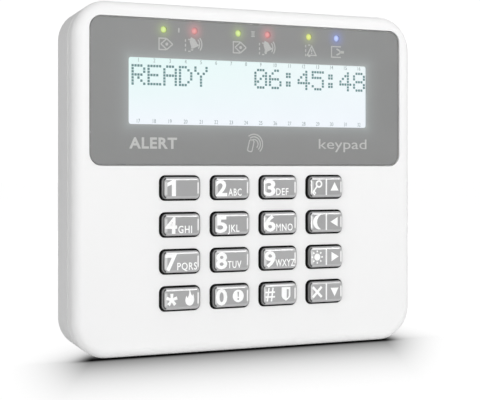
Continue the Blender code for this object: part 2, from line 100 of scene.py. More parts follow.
# Case shape, as in the CAD
CORNER_RADIUS = 13
EDGE_RADIUS = 3.5
BACK_INSET = 2.1
DRAFT_END = FACE - EDGE_RADIUS
WALL = 2
FLOOR = 2.2
PLATE_BACK = FACE - 2.6
KEY_OPENING = (16.1, 9.04)
KEY_OPENING_RADIUS = 2.3
KEY_FLANGE = (17.3, 10.4)
KEY_FLANGE_BACK = PLATE_BACK - 2.4
KEY_FLANGE_FRONT = PLATE_BACK - 0.8
KEY_STEM = (8.6, 4.4)
WINDOW_RADIUS = 4.2
LIT_AREA = (98.4, 23.4)
PASS = 1  # how far a cutter runs past the face that it opens

# Key caps
KEY_HEAD = (14.9, 7.84)
KEY_HEAD_RADIUS = 1.75
KEY_EDGE_WIDTH = 1.15
KEY_FACET_WIDTH = 0.42
KEY_FACET_TILT = 15.5  # degrees from the flat top
KEY_EDGE_STEEP = 68  # degrees from the flat top, where the edge leaves the cap's side


# ---------------------------------------------------------------- outlines


def waves(degrees):
    """(cosine, sine) of each angle."""
    return [(math.cos(math.radians(a)), math.sin(math.radians(a))) for a in degrees]


def quarter(steps):
    """(cosine, sine) along a quarter turn."""
    return waves([90 * step / steps for step in range(steps + 1)])


def grown(size, by):
    return (size[0] + 2 * by, size[1] + 2 * by)


def beside(point, x, z):
    return (point[0] + x, point[1] + z)


def moved(points, by):
    return [beside(by, *point) for point in points]


def turned(points, degrees, centre=(0, 0)):
    (c, s), = waves([degrees])
    return moved([(c * x - s * z, s * x + c * z) for x, z in moved(points, (-centre[0], -centre[1]))], centre)


def rounded(size, radius, centre=(0, 0), steps=8):
    points = []
    for quadrant, (side_x, side_z) in enumerate(((1, 1), (-1, 1), (-1, -1), (1, -1))):
        corner = (centre[0] + side_x * (size[0] / 2 - radius), centre[1] + side_z * (size[1] / 2 - radius))
        angles = [90 * (quadrant + step / steps) for step in range(steps + 1)]
        points += moved([(radius * c, radius * s) for c, s in waves(angles)], corner)
    return points


def pill(size, centre, steps=8):
    """Outline whose short ends are round."""
    return rounded(size, size[1] / 2 - 0.01, centre, steps)


def rectangle(size, centre=(0, 0)):
    x, z = size[0] / 2, size[1] / 2
    return moved([(x, -z), (x, z), (-x, z), (-x, -z)], centre)


def arc(radius, start, end, centre=(0, 0), steps=12):
    """Points along an arc between two angles in degrees."""
    angles = [start + (end - start) * step / steps for step in range(steps + 1)]
    return moved([(radius * c, radius * s) for c, s in waves(angles)], centre)


def circle(radius, centre=(0, 0), steps=32):
    return arc(radius, 0, 360, centre, steps)[:-1]


def stroke(points, width):
    """Outline of a pen line through open points, with mitred bends."""
    left, right = [], []
    for i, point in enumerate(points):
        here = Vector(point)
        before = (here - Vector(points[i - 1])).normalized() if i else None
        after = (Vector(points[i + 1]) - here).normalized() if i < len(points) - 1 else None
        direction = ((before or after) + (after or before)).normalized()
        normal = Vector((-direction.y, direction.x))
        reach = width / 2 / max(0.4, normal.dot(Vector((-(before or after).y, (before or after).x))))
        left.append(tuple(here + normal * reach))
        right.append(tuple(here - normal * reach))
    return right + left[::-1]


def smooth_loop(points, steps=6):
    """Closed Catmull-Rom curve through a few points."""
    count = len(points)
    curve = []
    for i in range(count):
        a, b, c, d = (Vector(points[(i + k - 1) % count]) for k in range(4))
        for step in range(steps):
            t = step / steps
            bend = (2 * a - 5 * b + 4 * c - d) * t**2 + (3 * b - a - 3 * c + d) * t**3
            curve.append(tuple(0.5 * (2 * b + (c - a) * t + bend)))
    return curve


# ---------------------------------------------------------------- mesh building


CAPITAL = 0.729  # height of a capital in the built-in typeface
NARROW = 0.8  # width of centred lettering, of its natural width


def text_mesh(words, height, weight, spacing):
    """Points and faces of a word with its capitals this high, standing on z = 0."""
    curve = bpy.data.curves.new("words", "FONT")
    curve.body = words
    curve.offset = weight
    curve.space_character = spacing
    curve.resolution_u = 3
    holder = link("words", curve)
    mesh = bpy.data.meshes.new_from_object(holder.evaluated_get(bpy.context.evaluated_depsgraph_get()))
    bpy.data.objects.remove(holder)
    bpy.data.curves.remove(curve)
    points = [(v.co.x * height / CAPITAL, v.co.y * height / CAPITAL) for v in mesh.vertices]
    faces = [tuple(p.vertices) for p in mesh.polygons]
    bpy.data.meshes.remove(mesh)
    return points, faces


def walls(behind, ahead):
    """Four-cornered faces between two loops of points."""
    return [(behind[i - 1], behind[i], ahead[i], ahead[i - 1]) for i in range(len(behind))]


class Shape:
    """A mesh made of closed solids. Each method from loft on adds one and returns the shape."""

    def __init__(self):
        self.bm = bmesh.new()

    def ring(self, outline, depth):
        """Adds the points of an outline at one depth."""
        return [self.bm.verts.new((x * MM, -depth * MM, z * MM)) for x, z in outline]

    def skin(self, corners, material=0, settle=True):
        """Adds a face for each list of points. Settling turns the faces of a solid outward."""
        faces = [self.bm.faces.new(face) for face in corners]
        for face in faces:
            face.material_index = material
        if settle:
            bmesh.ops.recalc_face_normals(self.bm, faces=faces)
        return self

    def loft(self, sections, material=0):
        """A solid through sections, each (outline, depth), from the wall to the front."""
        rings = [self.ring(outline, depth) for outline, depth in sections]
        corners = [rings[0][::-1], rings[-1]]
        for back, front in zip(rings, rings[1:]):
            corners += walls(back, front)
        return self.skin(corners, material, settle=False)

    def prism(self, outline, back, front, material=0):
        return self.loft([(outline, back), (outline, front)], material)

    def lathe(self, profile, centre=(0, 0), steps=32):
        """A round solid through (radius, depth) points."""
        return self.loft([(circle(radius, centre, steps), depth) for radius, depth in profile])

    def block(self, centre, depths, size, bevel):
        """A box between two depths, with its front and back edges bevelled."""
        back, front = depths
        inner, outer = rectangle(grown(size, -bevel), centre), rectangle(size, centre)
        return self.loft([(inner, back), (outer, back + bevel), (outer, front - bevel), (inner, front)])

    def plate(self, loops, back, front, material=0):
        """A flat plate of any outline. The first loop is its edge and any others are holes."""
        triangles = tessellate_polygon([[Vector((x * MM, z * MM, 0)) for x, z in loop] for loop in loops])
        points = [point for loop in loops for point in loop]
        behind, ahead = self.ring(points, back), self.ring(points, front)
        corners = []
        for a, b, c in triangles:
            (ax, az), (bx, bz), (cx, cz) = points[a], points[b], points[c]
            if (bx - ax) * (cz - az) - (bz - az) * (cx - ax) < 0:
                b, c = c, b
            corners += [(ahead[a], ahead[b], ahead[c]), (behind[a], behind[c], behind[b])]
        start = 0
        for loop in loops:
            end = start + len(loop)
            corners += walls(behind[start:end], ahead[start:end])
            start = end
        return self.skin(corners, material)

    def bar(self, profile, x_low, x_high):
        """A bar along X, whose profile is (depth, z) points."""
        low, high = ([self.ring([(x, z)], depth)[0] for depth, z in profile] for x in (x_low, x_high))
        return self.skin([low, high[::-1], *walls(high, low)])

    def write(self, words, height, depth, base, span=None, centre=None, weight=0.0, spacing=1.0):
        """Thin lettering standing on z = base, stretched between two x of span or narrowed about a centre."""
        points, faces = text_mesh(words, height, weight, spacing)
        low = min(x for x, _ in points)
        width = max(x for x, _ in points) - low
        squeeze = (span[1] - span[0]) / width if span else NARROW
        start = span[0] if span else centre - width * squeeze / 2
        front = self.ring([(start + (x - low) * squeeze, base + z) for x, z in points], depth + INK)
        added = [self.bm.faces.new([front[i] for i in face]) for face in faces]
        bmesh.ops.recalc_face_normals(self.bm, faces=added)
        if sum(face.normal.y * face.calc_area() for face in added) > 0:
            bmesh.ops.reverse_faces(self.bm, faces=added)
        behind = bmesh.ops.extrude_face_region(self.bm, geom=added, use_keep_orig=True)["geom"]
        verts = [item for item in behind if isinstance(item, bmesh.types.BMVert)]
        faces = [item for item in behind if isinstance(item, bmesh.types.BMFace)]
        bmesh.ops.translate(self.bm, verts=verts, vec=(0, 2 * INK * MM, 0))
        bmesh.ops.reverse_faces(self.bm, faces=faces)
        return self


def link(name, data):
    """A new object in the scene that shows the data."""
    obj = bpy.data.objects.new(name, data)
    bpy.context.scene.collection.objects.link(obj)
    return obj


def new_object(name, shape, *materials):
    mesh = bpy.data.meshes.new(name)
    shape.bm.to_mesh(mesh)
    shape.bm.free()
    for material in materials:
        mesh.materials.append(material)
    return link(name, mesh)


def carve(obj, shape, operation="DIFFERENCE"):
    """Applies a Boolean with a shape that is then thrown away."""
    cutter = new_object("cutter", shape)
    modifier = obj.modifiers.new("carve", "BOOLEAN")
    modifier.operation = operation
    modifier.solver = "EXACT"
    modifier.object = cutter
    graph = bpy.context.evaluated_depsgraph_get()
    mesh = bpy.data.meshes.new_from_object(obj.evaluated_get(graph))
    obj.modifiers.clear()
    obj.data = mesh
    bpy.data.objects.remove(cutter)


def finish_piece(obj, slot, *replaces, body="cover", angle=35):
    """Shades the piece, puts it on its body and hides the CAD nodes that it stands for."""
    obj.data.shade_smooth()
    obj.data.set_sharp_from_angle(angle=math.radians(angle))
    weighted = obj.modifiers.new("even_shading", "WEIGHTED_NORMAL")
    weighted.keep_sharp = True
    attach(obj, body)
    if replaces:
        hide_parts(*replaces)


def piece(name, shape, materials, slot, *replaces, body="cover", angle=35):
    """A piece made of one shape and one material, or a list of them."""
    materials = materials if isinstance(materials, list) else [materials]
    finish_piece(new_object(name, shape, *materials), slot, *replaces, body=body, angle=angle)


def copies(pattern, names, depth, centres, slot, nodes, bodies):
    """Pieces that share the pattern's mesh, each at its own centre. The pattern is then removed."""
    for name, (x, z), node, body in zip(names, centres, nodes, bodies):
        copy = link(name, pattern.data)
        copy.location = (x * MM, -depth * MM, z * MM)
        finish_piece(copy, slot, node, body=body)
    bpy.data.objects.remove(pattern)


# ---------------------------------------------------------------- materials


def rgb(*channels):
    return (*channels, 1.0)


def grey(level):
    return rgb(level, level, level)


def shaded(color, by):
    """The colour made this many times as bright."""
    return rgb(*(min(1.0, channel * by) for channel in color))


class Nodes:
    """Short-hand for building one material's node tree. Places and sizes in it are millimetres."""

    def __init__(self, name):
        self.material = bpy.data.materials.new(name)
        self.material.use_nodes = True
        self.tree = self.material.node_tree
        self.tree.nodes.clear()
        self.place = self.vector("MULTIPLY", self.add("ShaderNodeTexCoord").outputs["Object"], [1 / MM] * 3)
        parts = self.add("ShaderNodeSeparateXYZ", {"Vector": self.place})
        self.x, self.y, self.z = parts.outputs

    def add(self, kind, inputs=None, **settings):
        node = self.tree.nodes.new(kind)
        for key, value in settings.items():
            setattr(node, key, value)
        for key, value in (inputs or {}).items():
            self.feed(node.inputs[key], value)
        return node

    def feed(self, socket, value):
        if isinstance(value, bpy.types.NodeSocket):
            self.tree.links.new(value, socket)
        else:
            socket.default_value = value

    def math(self, operation, *values):
        node = self.add("ShaderNodeMath", operation=operation)
        for socket, value in zip(node.inputs, values):
            self.feed(socket, value)
        return node.outputs[0]

    def times(self, first, *others):
        for other in others:
            first = self.math("MULTIPLY", first, other)
        return first

    def plus(self, first, *others):
        for other in others:
            first = self.math("ADD", first, other)
        return first

    def vector(self, operation, *values):
        node = self.add("ShaderNodeVectorMath", operation=operation)
        for socket, value in zip(node.inputs, values):
            self.feed(socket, value)
        return node.outputs["Value"] if operation in ("DISTANCE", "LENGTH") else node.outputs["Vector"]

    def noise(self, size, detail=3.0, where=None):
        """Noise whose features are about this size."""
        inputs = {"Vector": where or self.place, "Scale": 1 / size, "Detail": detail}
        return self.add("ShaderNodeTexNoise", inputs).outputs["Fac"]

    def ramp(self, value, start, end, low=0.0, high=1.0):
        """Goes from low to high as the value goes from start to end."""
        limits = {"From Min": start, "From Max": end, "To Min": low, "To Max": high}
        return self.add("ShaderNodeMapRange", {"Value": value, **limits}).outputs["Result"]

    def uneven(self, size, low, high):
        """Varies between two values, in patches of this size."""
        return self.ramp(self.noise(size), 0, 1, low, high)

    def band(self, value, low, high, soft):
        """1 between the two limits and 0 outside them, each limit blurred over the soft width."""
        rising = self.ramp(value, low - soft / 2, low + soft / 2)
        return self.times(rising, self.ramp(value, high + soft / 2, high - soft / 2))

    def mix(self, factor, first, second):
        node = self.add("ShaderNodeMix", {0: factor, 6: first, 7: second}, data_type="RGBA")
        return node.outputs[2]

    def mottled(self, color, size, low, high, detail=3.0):
        """The colour made between low and high times as bright, in patches of this size."""
        return self.mix(self.noise(size, detail), shaded(color, low), shaded(color, high))

    def bump(self, height, distance):
        node = self.add("ShaderNodeBump", {"Height": height, "Distance": distance * MM, "Strength": 1.0})
        return node.outputs["Normal"]

    def outside(self, centre, size):
        """Distance from the point to a rectangle of the front plane, 0 inside it."""
        offset = self.vector("ABSOLUTE", self.vector("SUBTRACT", self.place, (centre[0], 0.0, centre[1])))
        beyond = self.vector("SUBTRACT", offset, (size[0] / 2, 1 / MM, size[1] / 2))
        return self.vector("LENGTH", self.vector("MAXIMUM", beyond, (0.0, 0.0, 0.0)))

    def glow_around(self, centre, reach):
        """1 at a spot of the window, fading out as a bell curve."""
        away = self.vector("DISTANCE", self.place, (centre[0], -WINDOW.front, centre[1]))
        ratio = self.math("DIVIDE", away, reach)
        return self.math("EXPONENT", self.times(ratio, ratio, -1.0))

    def surface(self, color, roughness, **inputs):
        """Ends the tree with the standard shader. Other inputs are named with _ for each space."""
        named = {key.replace("_", " "): value for key, value in inputs.items()}
        shader = self.add("ShaderNodeBsdfPrincipled", {"Base Color": color, "Roughness": roughness, **named})
        return self.finish(shader)

    def finish(self, shader):
        self.add("ShaderNodeOutputMaterial", {"Surface": shader.outputs[0]})
        return self.material


def moulded(name, color, roughness, grain=0.3, relief=0.004, variation=0.03, specular=0.5):
    """Moulded plastic: faint flow marks in the colour, uneven gloss and a fine skin texture."""
    n = Nodes(name)
    color = n.mottled(color, 18, 1 - variation, 1 + variation, 2)
    gloss = n.uneven(4, roughness * 0.85, roughness * 1.15)
    return n.surface(color, gloss, Normal=n.bump(n.noise(grain, 2), relief), Specular_IOR_Level=specular)


def metal(name, color, roughness):
    """Plated or drawn metal with fine scratches and patches of duller finish."""
    n = Nodes(name)
    scratches = n.noise(0.15, 4, n.vector("MULTIPLY", n.place, (1.0, 1.0, 9.0)))
    gloss = n.ramp(scratches, 0, 1, roughness * 0.7, roughness * 1.4)
    return n.surface(n.mottled(color, 2, 0.85, 1.1), gloss, Normal=n.bump(scratches, 0.003), Metallic=1.0)


def ink(name, color, roughness=0.4, glow=0.0):
    """Screen print: nearly flat colour with a little pigment grain."""
    n = Nodes(name)
    color = n.mottled(color, 0.4, 0.95, 1.04)
    return n.surface(color, roughness, Emission_Color=color, Emission_Strength=glow)


WINDOW_GREY = (0.25, 0.25, 0.248)
WINDOW_RIM_SHADE = 0.5
DISPLAY_GLOW = 0.16
DISPLAY_GLOW_REACH = 2.2
DISPLAY_BRIGHTNESS = 1.02
HALO_REACH = 2.5
LAMP_HALO = {"green": (0.10, 0.15, 0.0), "red": (0.28, 0.04, 0.05), "yellow": (0.12, 0.14, 0.0),
             "blue": (0.0, 0.03, 0.26)}
LAMP_CORE = {"green": (0.74, 0.89, 0.36), "red": (0.82, 0.36, 0.36), "yellow": (0.81, 0.88, 0.24),
             "blue": (0.62, 0.71, 1.0)}
LAMP_RIM = {"green": (0.46, 0.62, 0.13), "red": (0.58, 0.18, 0.18), "yellow": (0.58, 0.64, 0.11),
            "blue": (0.28, 0.36, 0.80)}


def window_print_material():
    """Grey back print, darker at its rim with painted shade, and with painted glow from the display and the
    lamps spreading in it.
    """
    n = Nodes("window_print_grey")
    outside = n.outside(WINDOW.centre, grown(WINDOW.size, -WINDOW_RADIUS))
    # Painted shade: the print goes darker towards its edge.
    rim_shade = n.ramp(n.math("SUBTRACT", WINDOW_RADIUS, outside), 0.0, WINDOW_RIM_SHADE)
    color = n.mix(rim_shade, shaded(WINDOW_GREY, 0.62), n.mottled(WINDOW_GREY, 25, 0.97, 1.03, 2))
    # Painted glow: the display's and the lamps' light is painted into the print around them as emission.
    near = n.math("EXPONENT", n.math("DIVIDE", n.outside(GLASS.centre, LIT_AREA), -DISPLAY_GLOW_REACH))
    light = n.mix(n.times(near, DISPLAY_GLOW), grey(0), rgb(0.62, 0.74, 0.76))
    for centre, tint in LAMPS.values():
        halo = n.mix(n.glow_around(centre, HALO_REACH), grey(0), rgb(*LAMP_HALO[tint]))
        light = n.vector("ADD", light, halo)
    lit = {"Emission_Color": light, "Emission_Strength": 1.0}
    return n.surface(color, n.uneven(3, 0.3, 0.38), Normal=n.bump(n.noise(0.2), 0.001), **lit)


def acrylic_material():
    """Clear sheet: see-through, with a mirror sheen that grows at a slant."""
    n = Nodes("window_acrylic")
    normal = n.bump(n.noise(12, 1), 0.002)
    sheen = n.add("ShaderNodeFresnel", {"IOR": 1.49, "Normal": normal}).outputs[0]
    inward = n.math("SUBTRACT", 1.0, n.add("ShaderNodeNewGeometry").outputs["Backfacing"])
    tint = n.mix(n.noise(20, 1), rgb(0.985, 0.99, 0.99), grey(1))
    clear = n.add("ShaderNodeBsdfTransparent", {"Color": tint}).outputs[0]
    gloss = n.uneven(5, 0.03, 0.05)
    mirror = n.add("ShaderNodeBsdfGlossy", {"Roughness": gloss, "Normal": normal}).outputs[0]
    return n.finish(n.add("ShaderNodeMixShader", {0: n.times(sheen, inward), 1: clear, 2: mirror}))


def lit_display_material():
    """Back-lit display: cool white that leans to cyan at the upper left and to lavender below."""
    n = Nodes("display_light")
    up = n.plus(n.math("DIVIDE", n.plus(n.z, -GLASS.centre[1]), LIT_AREA[1]), 0.5)
    along = n.plus(n.math("DIVIDE", n.plus(n.x, -GLASS.centre[0]), LIT_AREA[0]), 0.5)
    color = n.mix(up, rgb(0.875, 0.918, 0.975), rgb(0.855, 0.93, 0.945))
    color = n.mix(n.times(up, n.math("SUBTRACT", 1.0, along)), color, rgb(0.76, 0.93, 0.915))
    strength = n.times(n.ramp(n.noise(14, 1), 0, 1, 0.965, 1.0), DISPLAY_BRIGHTNESS)
    return n.surface(grey(0.02), 0.3, Emission_Color=color, Emission_Strength=strength)


def lamp_dot_material(name, tint, centre):
    """Diffuser dot over a lamp: pale in the middle and coloured towards its edge."""
    n = Nodes(name)
    color = n.mix(n.glow_around(centre, 1.1), rgb(*LAMP_RIM[tint]), rgb(*LAMP_CORE[tint]))
    return n.surface(grey(0.05), 0.5, Emission_Color=color, Emission_Strength=n.uneven(0.3, 0.96, 1.04))


def key_material():
    """Clear cap over a grey core: a foot blackened by painted shade, a rolled edge painted lighter as if lit,
    and at its ends a dark line of painted shade and painted highlight bars.
    """
    n = Nodes("key_grey_gloss")
    inside = n.math("SUBTRACT", KEY_HEAD_RADIUS, n.outside((0, 0), grown(KEY_HEAD, -KEY_HEAD_RADIUS)))
    from_left = n.plus(n.x, KEY_HEAD[0] / 2)
    # Painted light: the rolled edge is coloured lighter, as if it caught the light.
    lit_edge = n.ramp(inside, KEY_EDGE_WIDTH * 0.75, KEY_EDGE_WIDTH)
    color = n.mix(lit_edge, rgb(0.46, 0.46, 0.465), n.mottled((0.35, 0.35, 0.353), 5, 0.96, 1.04, 2))
    # Painted highlight: a near-white line on the edge facet at the cap's right end.
    facet = n.band(inside, KEY_EDGE_WIDTH - KEY_FACET_WIDTH, KEY_EDGE_WIDTH + 0.15, 0.1)
    right = n.times(n.math("GREATER_THAN", n.x, KEY_HEAD[0] / 2 - 1.5), n.band(n.z, -2, 2, 0.5))
    color = n.mix(n.times(facet, right), color, grey(0.92))
    # Painted shade: a near-black line just inside the cap's left edge.
    groove = n.times(n.band(inside, 0.25, 0.8, 0.25), n.math("LESS_THAN", from_left, 1.5))
    color = n.mix(n.times(groove, 0.95), color, grey(0.01))
    # Painted highlight: a pale bar near the cap's left end.
    bar = n.times(n.band(from_left, 0.85, 1.85, 0.2), n.band(n.z, -2.5, 2.2, 0.6))
    color = n.mix(n.times(bar, 0.65), color, grey(0.75))
    # Painted shade: the cap's sides near the face go near-black, as the shade in the gap.
    color = n.mix(n.ramp(n.times(n.y, -1.0), FACE + 0.9, FACE + 1.5), grey(0.012), color)
    tone = n.ramp(n.add("ShaderNodeObjectInfo").outputs["Random"], 0, 1, 0.97, 1.03)
    color = n.vector("SCALE", color)
    n.feed(color.node.inputs["Scale"], tone)
    coat = {"Coat_Weight": 1.0, "Coat_Roughness": n.uneven(3, 0.02, 0.05), "Coat_IOR": 1.55}
    return n.surface(color, n.uneven(2, 0.28, 0.36), Normal=n.bump(n.noise(0.25), 0.001), **coat)


def board_material():
    """Solder mask over a patchwork of copper pour, with the weave of the laminate just showing."""
    n = Nodes("board_green")
    pour = n.add("ShaderNodeTexVoronoi", {"Vector": n.place, "Scale": 1 / 9}, distance="CHEBYCHEV")
    patch = n.add("ShaderNodeSeparateColor", {"Color": pour.outputs["Color"]})
    copper = n.math("GREATER_THAN", patch.outputs[0], 0.45)
    bare = n.mix(n.noise(6), rgb(0.010, 0.085, 0.032), rgb(0.014, 0.105, 0.040))
    filled = n.mix(n.noise(6), rgb(0.014, 0.112, 0.042), rgb(0.018, 0.130, 0.049))
    weave = n.add("ShaderNodeTexWave", {"Vector": n.place, "Scale": 0.4, "Distortion": 1.0}).outputs["Fac"]
    normal = n.bump(n.plus(copper, n.times(weave, 0.2)), 0.02)
    return n.surface(n.mix(copper, bare, filled), n.uneven(2, 0.25, 0.36), Normal=normal)


VIEW_ANGLE = 27.92  # degrees between the camera's view and the keypad's front
SHADE_CENTRE = -3
SHADE_HALF_WIDTH = 60
SHADE_REACH = (44, 12, 24)  # painted shade's reach ahead of the keypad's face, to its sides and behind its face
SHADE_POWERS = (1.25, 1.25, 1.0)
SHADE_DARKNESS = 0.8
CONTACT_REACH = (3.6, 5, 14)  # of the painted contact shadow, a dark line at its foot, in the same order
CONTACT_POWERS = (2.0, 2.0, 2.0)
TABLE_LIT = 0.12
TABLE_GLOW = 0.955


def table_material():
    """White table top that the camera sees lit evenly, but for a painted shade and a painted contact shadow
    where the keypad stands.
    """
    n = Nodes("table_white")
    (view_cos, view_sin), = waves([VIEW_ANGLE])
    depth = n.plus(n.times(n.y, -1.0), -FACE)
    ahead = n.math("DIVIDE", n.math("MAXIMUM", depth, 0.0), view_cos)
    behind = n.math("MAXIMUM", n.times(depth, -1.0), 0.0)
    # The painted shade points at the camera, as a reflection does.
    across = n.plus(n.x, n.times(depth, view_sin / view_cos), -SHADE_CENTRE)
    aside = n.math("MAXIMUM", n.plus(n.math("ABSOLUTE", across), -SHADE_HALF_WIDTH), 0.0)

    def shade(reaches, powers, darkness):
        """What is left of the light where a painted shade fades out over these distances."""
        ways = zip((ahead, aside, behind), reaches, powers)
        fading = [n.math("POWER", n.math("DIVIDE", away, reach), power) for away, reach, power in ways]
        bell = n.math("EXPONENT", n.times(n.plus(*fading), -1.0))
        return n.math("SUBTRACT", 1.0, n.times(bell, darkness))

    # Painted shade over the floor near the keypad, times a painted contact shadow along its foot.
    wide = shade(SHADE_REACH, SHADE_POWERS, SHADE_DARKNESS)
    unshaded = n.times(wide, shade(CONTACT_REACH, CONTACT_POWERS, 1.0))
    seen = n.add("ShaderNodeLightPath").outputs["Is Camera Ray"]
    white = n.mix(n.noise(150, 2), grey(0.90), grey(0.92))
    color = n.mix(seen, white, n.mix(unshaded, grey(0), grey(TABLE_LIT)))
    glow = n.times(unshaded, seen, TABLE_GLOW)
    return n.surface(color, n.uneven(30, 0.5, 0.6), Specular_IOR_Level=0.0, Emission_Color=grey(1),
                     Emission_Strength=glow)


case_white = moulded("case_white", (0.85, 0.85, 0.85), 0.42, relief=0.003, variation=0.006, specular=0.18)
window_print = window_print_material()
window_acrylic = acrylic_material()
display_light = lit_display_material()
display_dots = ink("display_dots", (0.10, 0.22, 0.23))
display_ghost = ink("display_numbers", (0.24, 0.30, 0.31), glow=0.12)
sign_ink = ink("sign_ink", (0.47, 0.47, 0.46), glow=0.05)
name_ink = ink("name_ink", (0.50, 0.50, 0.49), glow=0.05)
legend_ink = ink("legend_ink", (0.88, 0.88, 0.88), glow=0.06)
key_grey = key_material()
# Painted shade: a darker copy of the front shell's white, for the rear band's shaded look.
base_white_shaded = moulded("base_white_shaded", (0.80, 0.80, 0.80), 0.42, variation=0.006)
board_green = board_material()
trace_green = ink("trace_green", (0.035, 0.22, 0.085), 0.35)
silk_white = ink("silk_white", (0.75, 0.76, 0.74), 0.6)
screw_steel = metal("screw_steel", (0.58, 0.58, 0.60), 0.3)
tinned = metal("tinned", (0.74, 0.73, 0.70), 0.38)
pin_gold = metal("pin_gold", (0.86, 0.64, 0.30), 0.3)
coil_copper = metal("coil_copper", (0.74, 0.36, 0.19), 0.32)
terminal_green = moulded("terminal_green", (0.03, 0.24, 0.10), 0.4)
ceramic = moulded("ceramic", (0.42, 0.33, 0.24), 0.5, grain=0.05)
tape = moulded("tape", (0.62, 0.42, 0.10), 0.3, grain=0.1)
guide_plastic = moulded("guide_plastic", (0.80, 0.84, 0.88), 0.25)
strip_rubber = moulded("strip_rubber", (0.45, 0.16, 0.16), 0.7, relief=0.01)
# Near-black rubber; in the key openings it also stands in for the shade deep in each gap.
mat_rubber = moulded("mat_rubber", (0.006, 0.006, 0.006), 0.85, specular=0.1)
black_plastic = moulded("black_plastic", (0.022, 0.022, 0.024), 0.45, relief=0.008)


# ---------------------------------------------------------------- case front

CATCH_X = 35
CATCH_WIDTH = 10


def case_inset(depth):
    """How far the drafted side stands in at this depth."""
    return BACK_INSET * max(0, 1 - depth / DRAFT_END)


def case_outline(inset):
    """Outline of the case, shrunk by the inset."""
    return rounded(grown(COVER.size, -inset), CORNER_RADIUS - inset, steps=20)


def case_section(depth, inset=0.0):
    """Section of the case's drafted side."""
    return (case_outline(case_inset(depth) + inset), depth)


def cut_round_edge(cutter, outline_at, back, edge):
    """Adds a cutter that leaves a round edge at the face. outline_at gives the outline grown by a length."""
    sections = [(outline_at(edge * (1 - c)), FACE - edge + edge * s) for c, s in quarter(4)]
    cutter.loft([(outline_at(0), back), *sections, (outline_at(edge), FACE + PASS)])


def key_opening(centre):
    return lambda by: rounded(grown(KEY_OPENING, by), KEY_OPENING_RADIUS + by, centre)


def window_recess(by):
    return rounded(grown(WINDOW.size, 0.3 + by), 4.5 + by, WINDOW.centre, 12)


def catch_profile(edge):
    """Catch tab beside the case's upper or lower edge, with its lip at the rear end."""
    side = math.copysign(1, edge)
    outer = edge - side * 3.3
    inner = outer - side
    lip = edge - side * 2.1
    lip_back, lip_front = 9.85, 10.85
    root, end = COVER_RIM + 0.4, COVER_RIM + 3
    wall = edge - side * WALL
    return [
        (lip_back, inner), (end, inner), (end, wall), (root, wall), (root, outer), (lip_front, outer),
        (lip_front - 0.2, lip), (lip_back + 0.5, lip), (lip_back, outer + side * 0.3),
    ]


def build_case_front():
    """Front shell: rounded rim, key and window openings, bosses and catches."""
    edge_break = 0.25
    sections = [case_section(COVER_RIM, edge_break), case_section(COVER_RIM + edge_break)]
    sections += [(case_outline(EDGE_RADIUS * (1 - c)), DRAFT_END + EDGE_RADIUS * s) for c, s in quarter(14)]
    front = new_object("case_front", Shape().loft(sections), case_white)
    inside = [
        (case_outline(case_inset(COVER_RIM) + WALL), COVER_RIM - PASS),
        (case_outline(WALL + 0.2), PLATE_BACK - 1),
        (case_outline(WALL + 1.2), PLATE_BACK),
    ]
    carve(front, Shape().loft(inside))
    added = Shape()
    foot = BOARD.front + 0.3
    boss = [(2.9, foot), (3, foot + 0.3), (3, PLATE_BACK - 1), (3.8, PLATE_BACK + 0.5)]
    for centre in BOSSES:
        added.lathe(boss, centre)
    for x in (-CATCH_X, CATCH_X):
        for edge in (COVER.top, COVER.bottom):
            added.bar(catch_profile(edge), x - CATCH_WIDTH / 2, x + CATCH_WIDTH / 2)
    carve(front, added, "UNION")
    cuts = Shape()
    for centre in BOSSES:
        cuts.prism(circle(1.4, centre, 24), BOARD.front - PASS, FACE - 4.2)
    for node in KEYS:
        cut_round_edge(cuts, key_opening(box_of(node).centre), PLATE_BACK - PASS, 0.08)
    cut_round_edge(cuts, window_recess, WINDOW.back - 0.3, 0.15)
    carve(front, cuts)
    behind = Shape()
    display_room = rounded(grown(box_of("lcd_frame").size, 0.6), 1.5, GLASS.centre)
    for outline in (display_room, *(circle(1.9, centre) for centre, _ in LAMPS.values())):
        behind.prism(outline, PLATE_BACK - PASS, FACE)
    carve(front, behind)
    finish_piece(front, "case_white", "front_cover", angle=40)


# ---------------------------------------------------------------- display window

LAMP_DOT_RADIUS = 1.15
PRINT_FRONT = WINDOW.front - 0.5


def window_outline(inset=0.0):
    return rounded(grown(WINDOW.size, -inset), WINDOW_RADIUS - inset, WINDOW.centre, 12)


def build_window():
    """Clear sheet over a grey print that leaves the display and the lamp dots free."""
    holes = [rounded(LIT_AREA, 0.9, GLASS.centre)[::-1]]
    holes += [circle(LAMP_DOT_RADIUS + 0.05, centre)[::-1] for centre, _ in LAMPS.values()]
    printed = Shape().plate([window_outline(), *holes], WINDOW.back, PRINT_FRONT)
    piece("window_print", printed, window_print, "window_grey", "display_window")
    edge = 0.2
    sections = [(window_outline(), PRINT_FRONT + INK)]
    sections += [(window_outline(edge * (1 - c)), WINDOW.front - edge + edge * s) for c, s in quarter(3)]
    piece("window_clear_sheet", Shape().loft(sections), window_acrylic, "window_grey")
    for node, (centre, tint) in LAMPS.items():
        name = node.replace("lamp_", "lamp_dot_")
        dome = [(LAMP_DOT_RADIUS, WINDOW.back)]
        dome += [(LAMP_DOT_RADIUS * c, PRINT_FRONT - 0.35 + 0.3 * s) for c, s in waves((0, 25, 50, 75))]
        piece(name, Shape().lathe(dome, centre), lamp_dot_material(name, tint, centre), "lamp_" + tint)


# ---------------------------------------------------------------- window signs

SIGN_LINE = 0.42
SIGN_LEVEL = WINDOW.centre[1] + 17
LAMP_LEVEL = LAMPS["lamp_service_blue"][0][1]


def sign(shape, *loops):
    """Adds flat print on the back of the clear sheet: an outline, and holes in it."""
    shape.plate(loops, PRINT_FRONT - INK, PRINT_FRONT + 0.5 * INK)


def sign_line(shape, points, at=(0, 0), width=SIGN_LINE):
    sign(shape, stroke(moved(points, at), width))


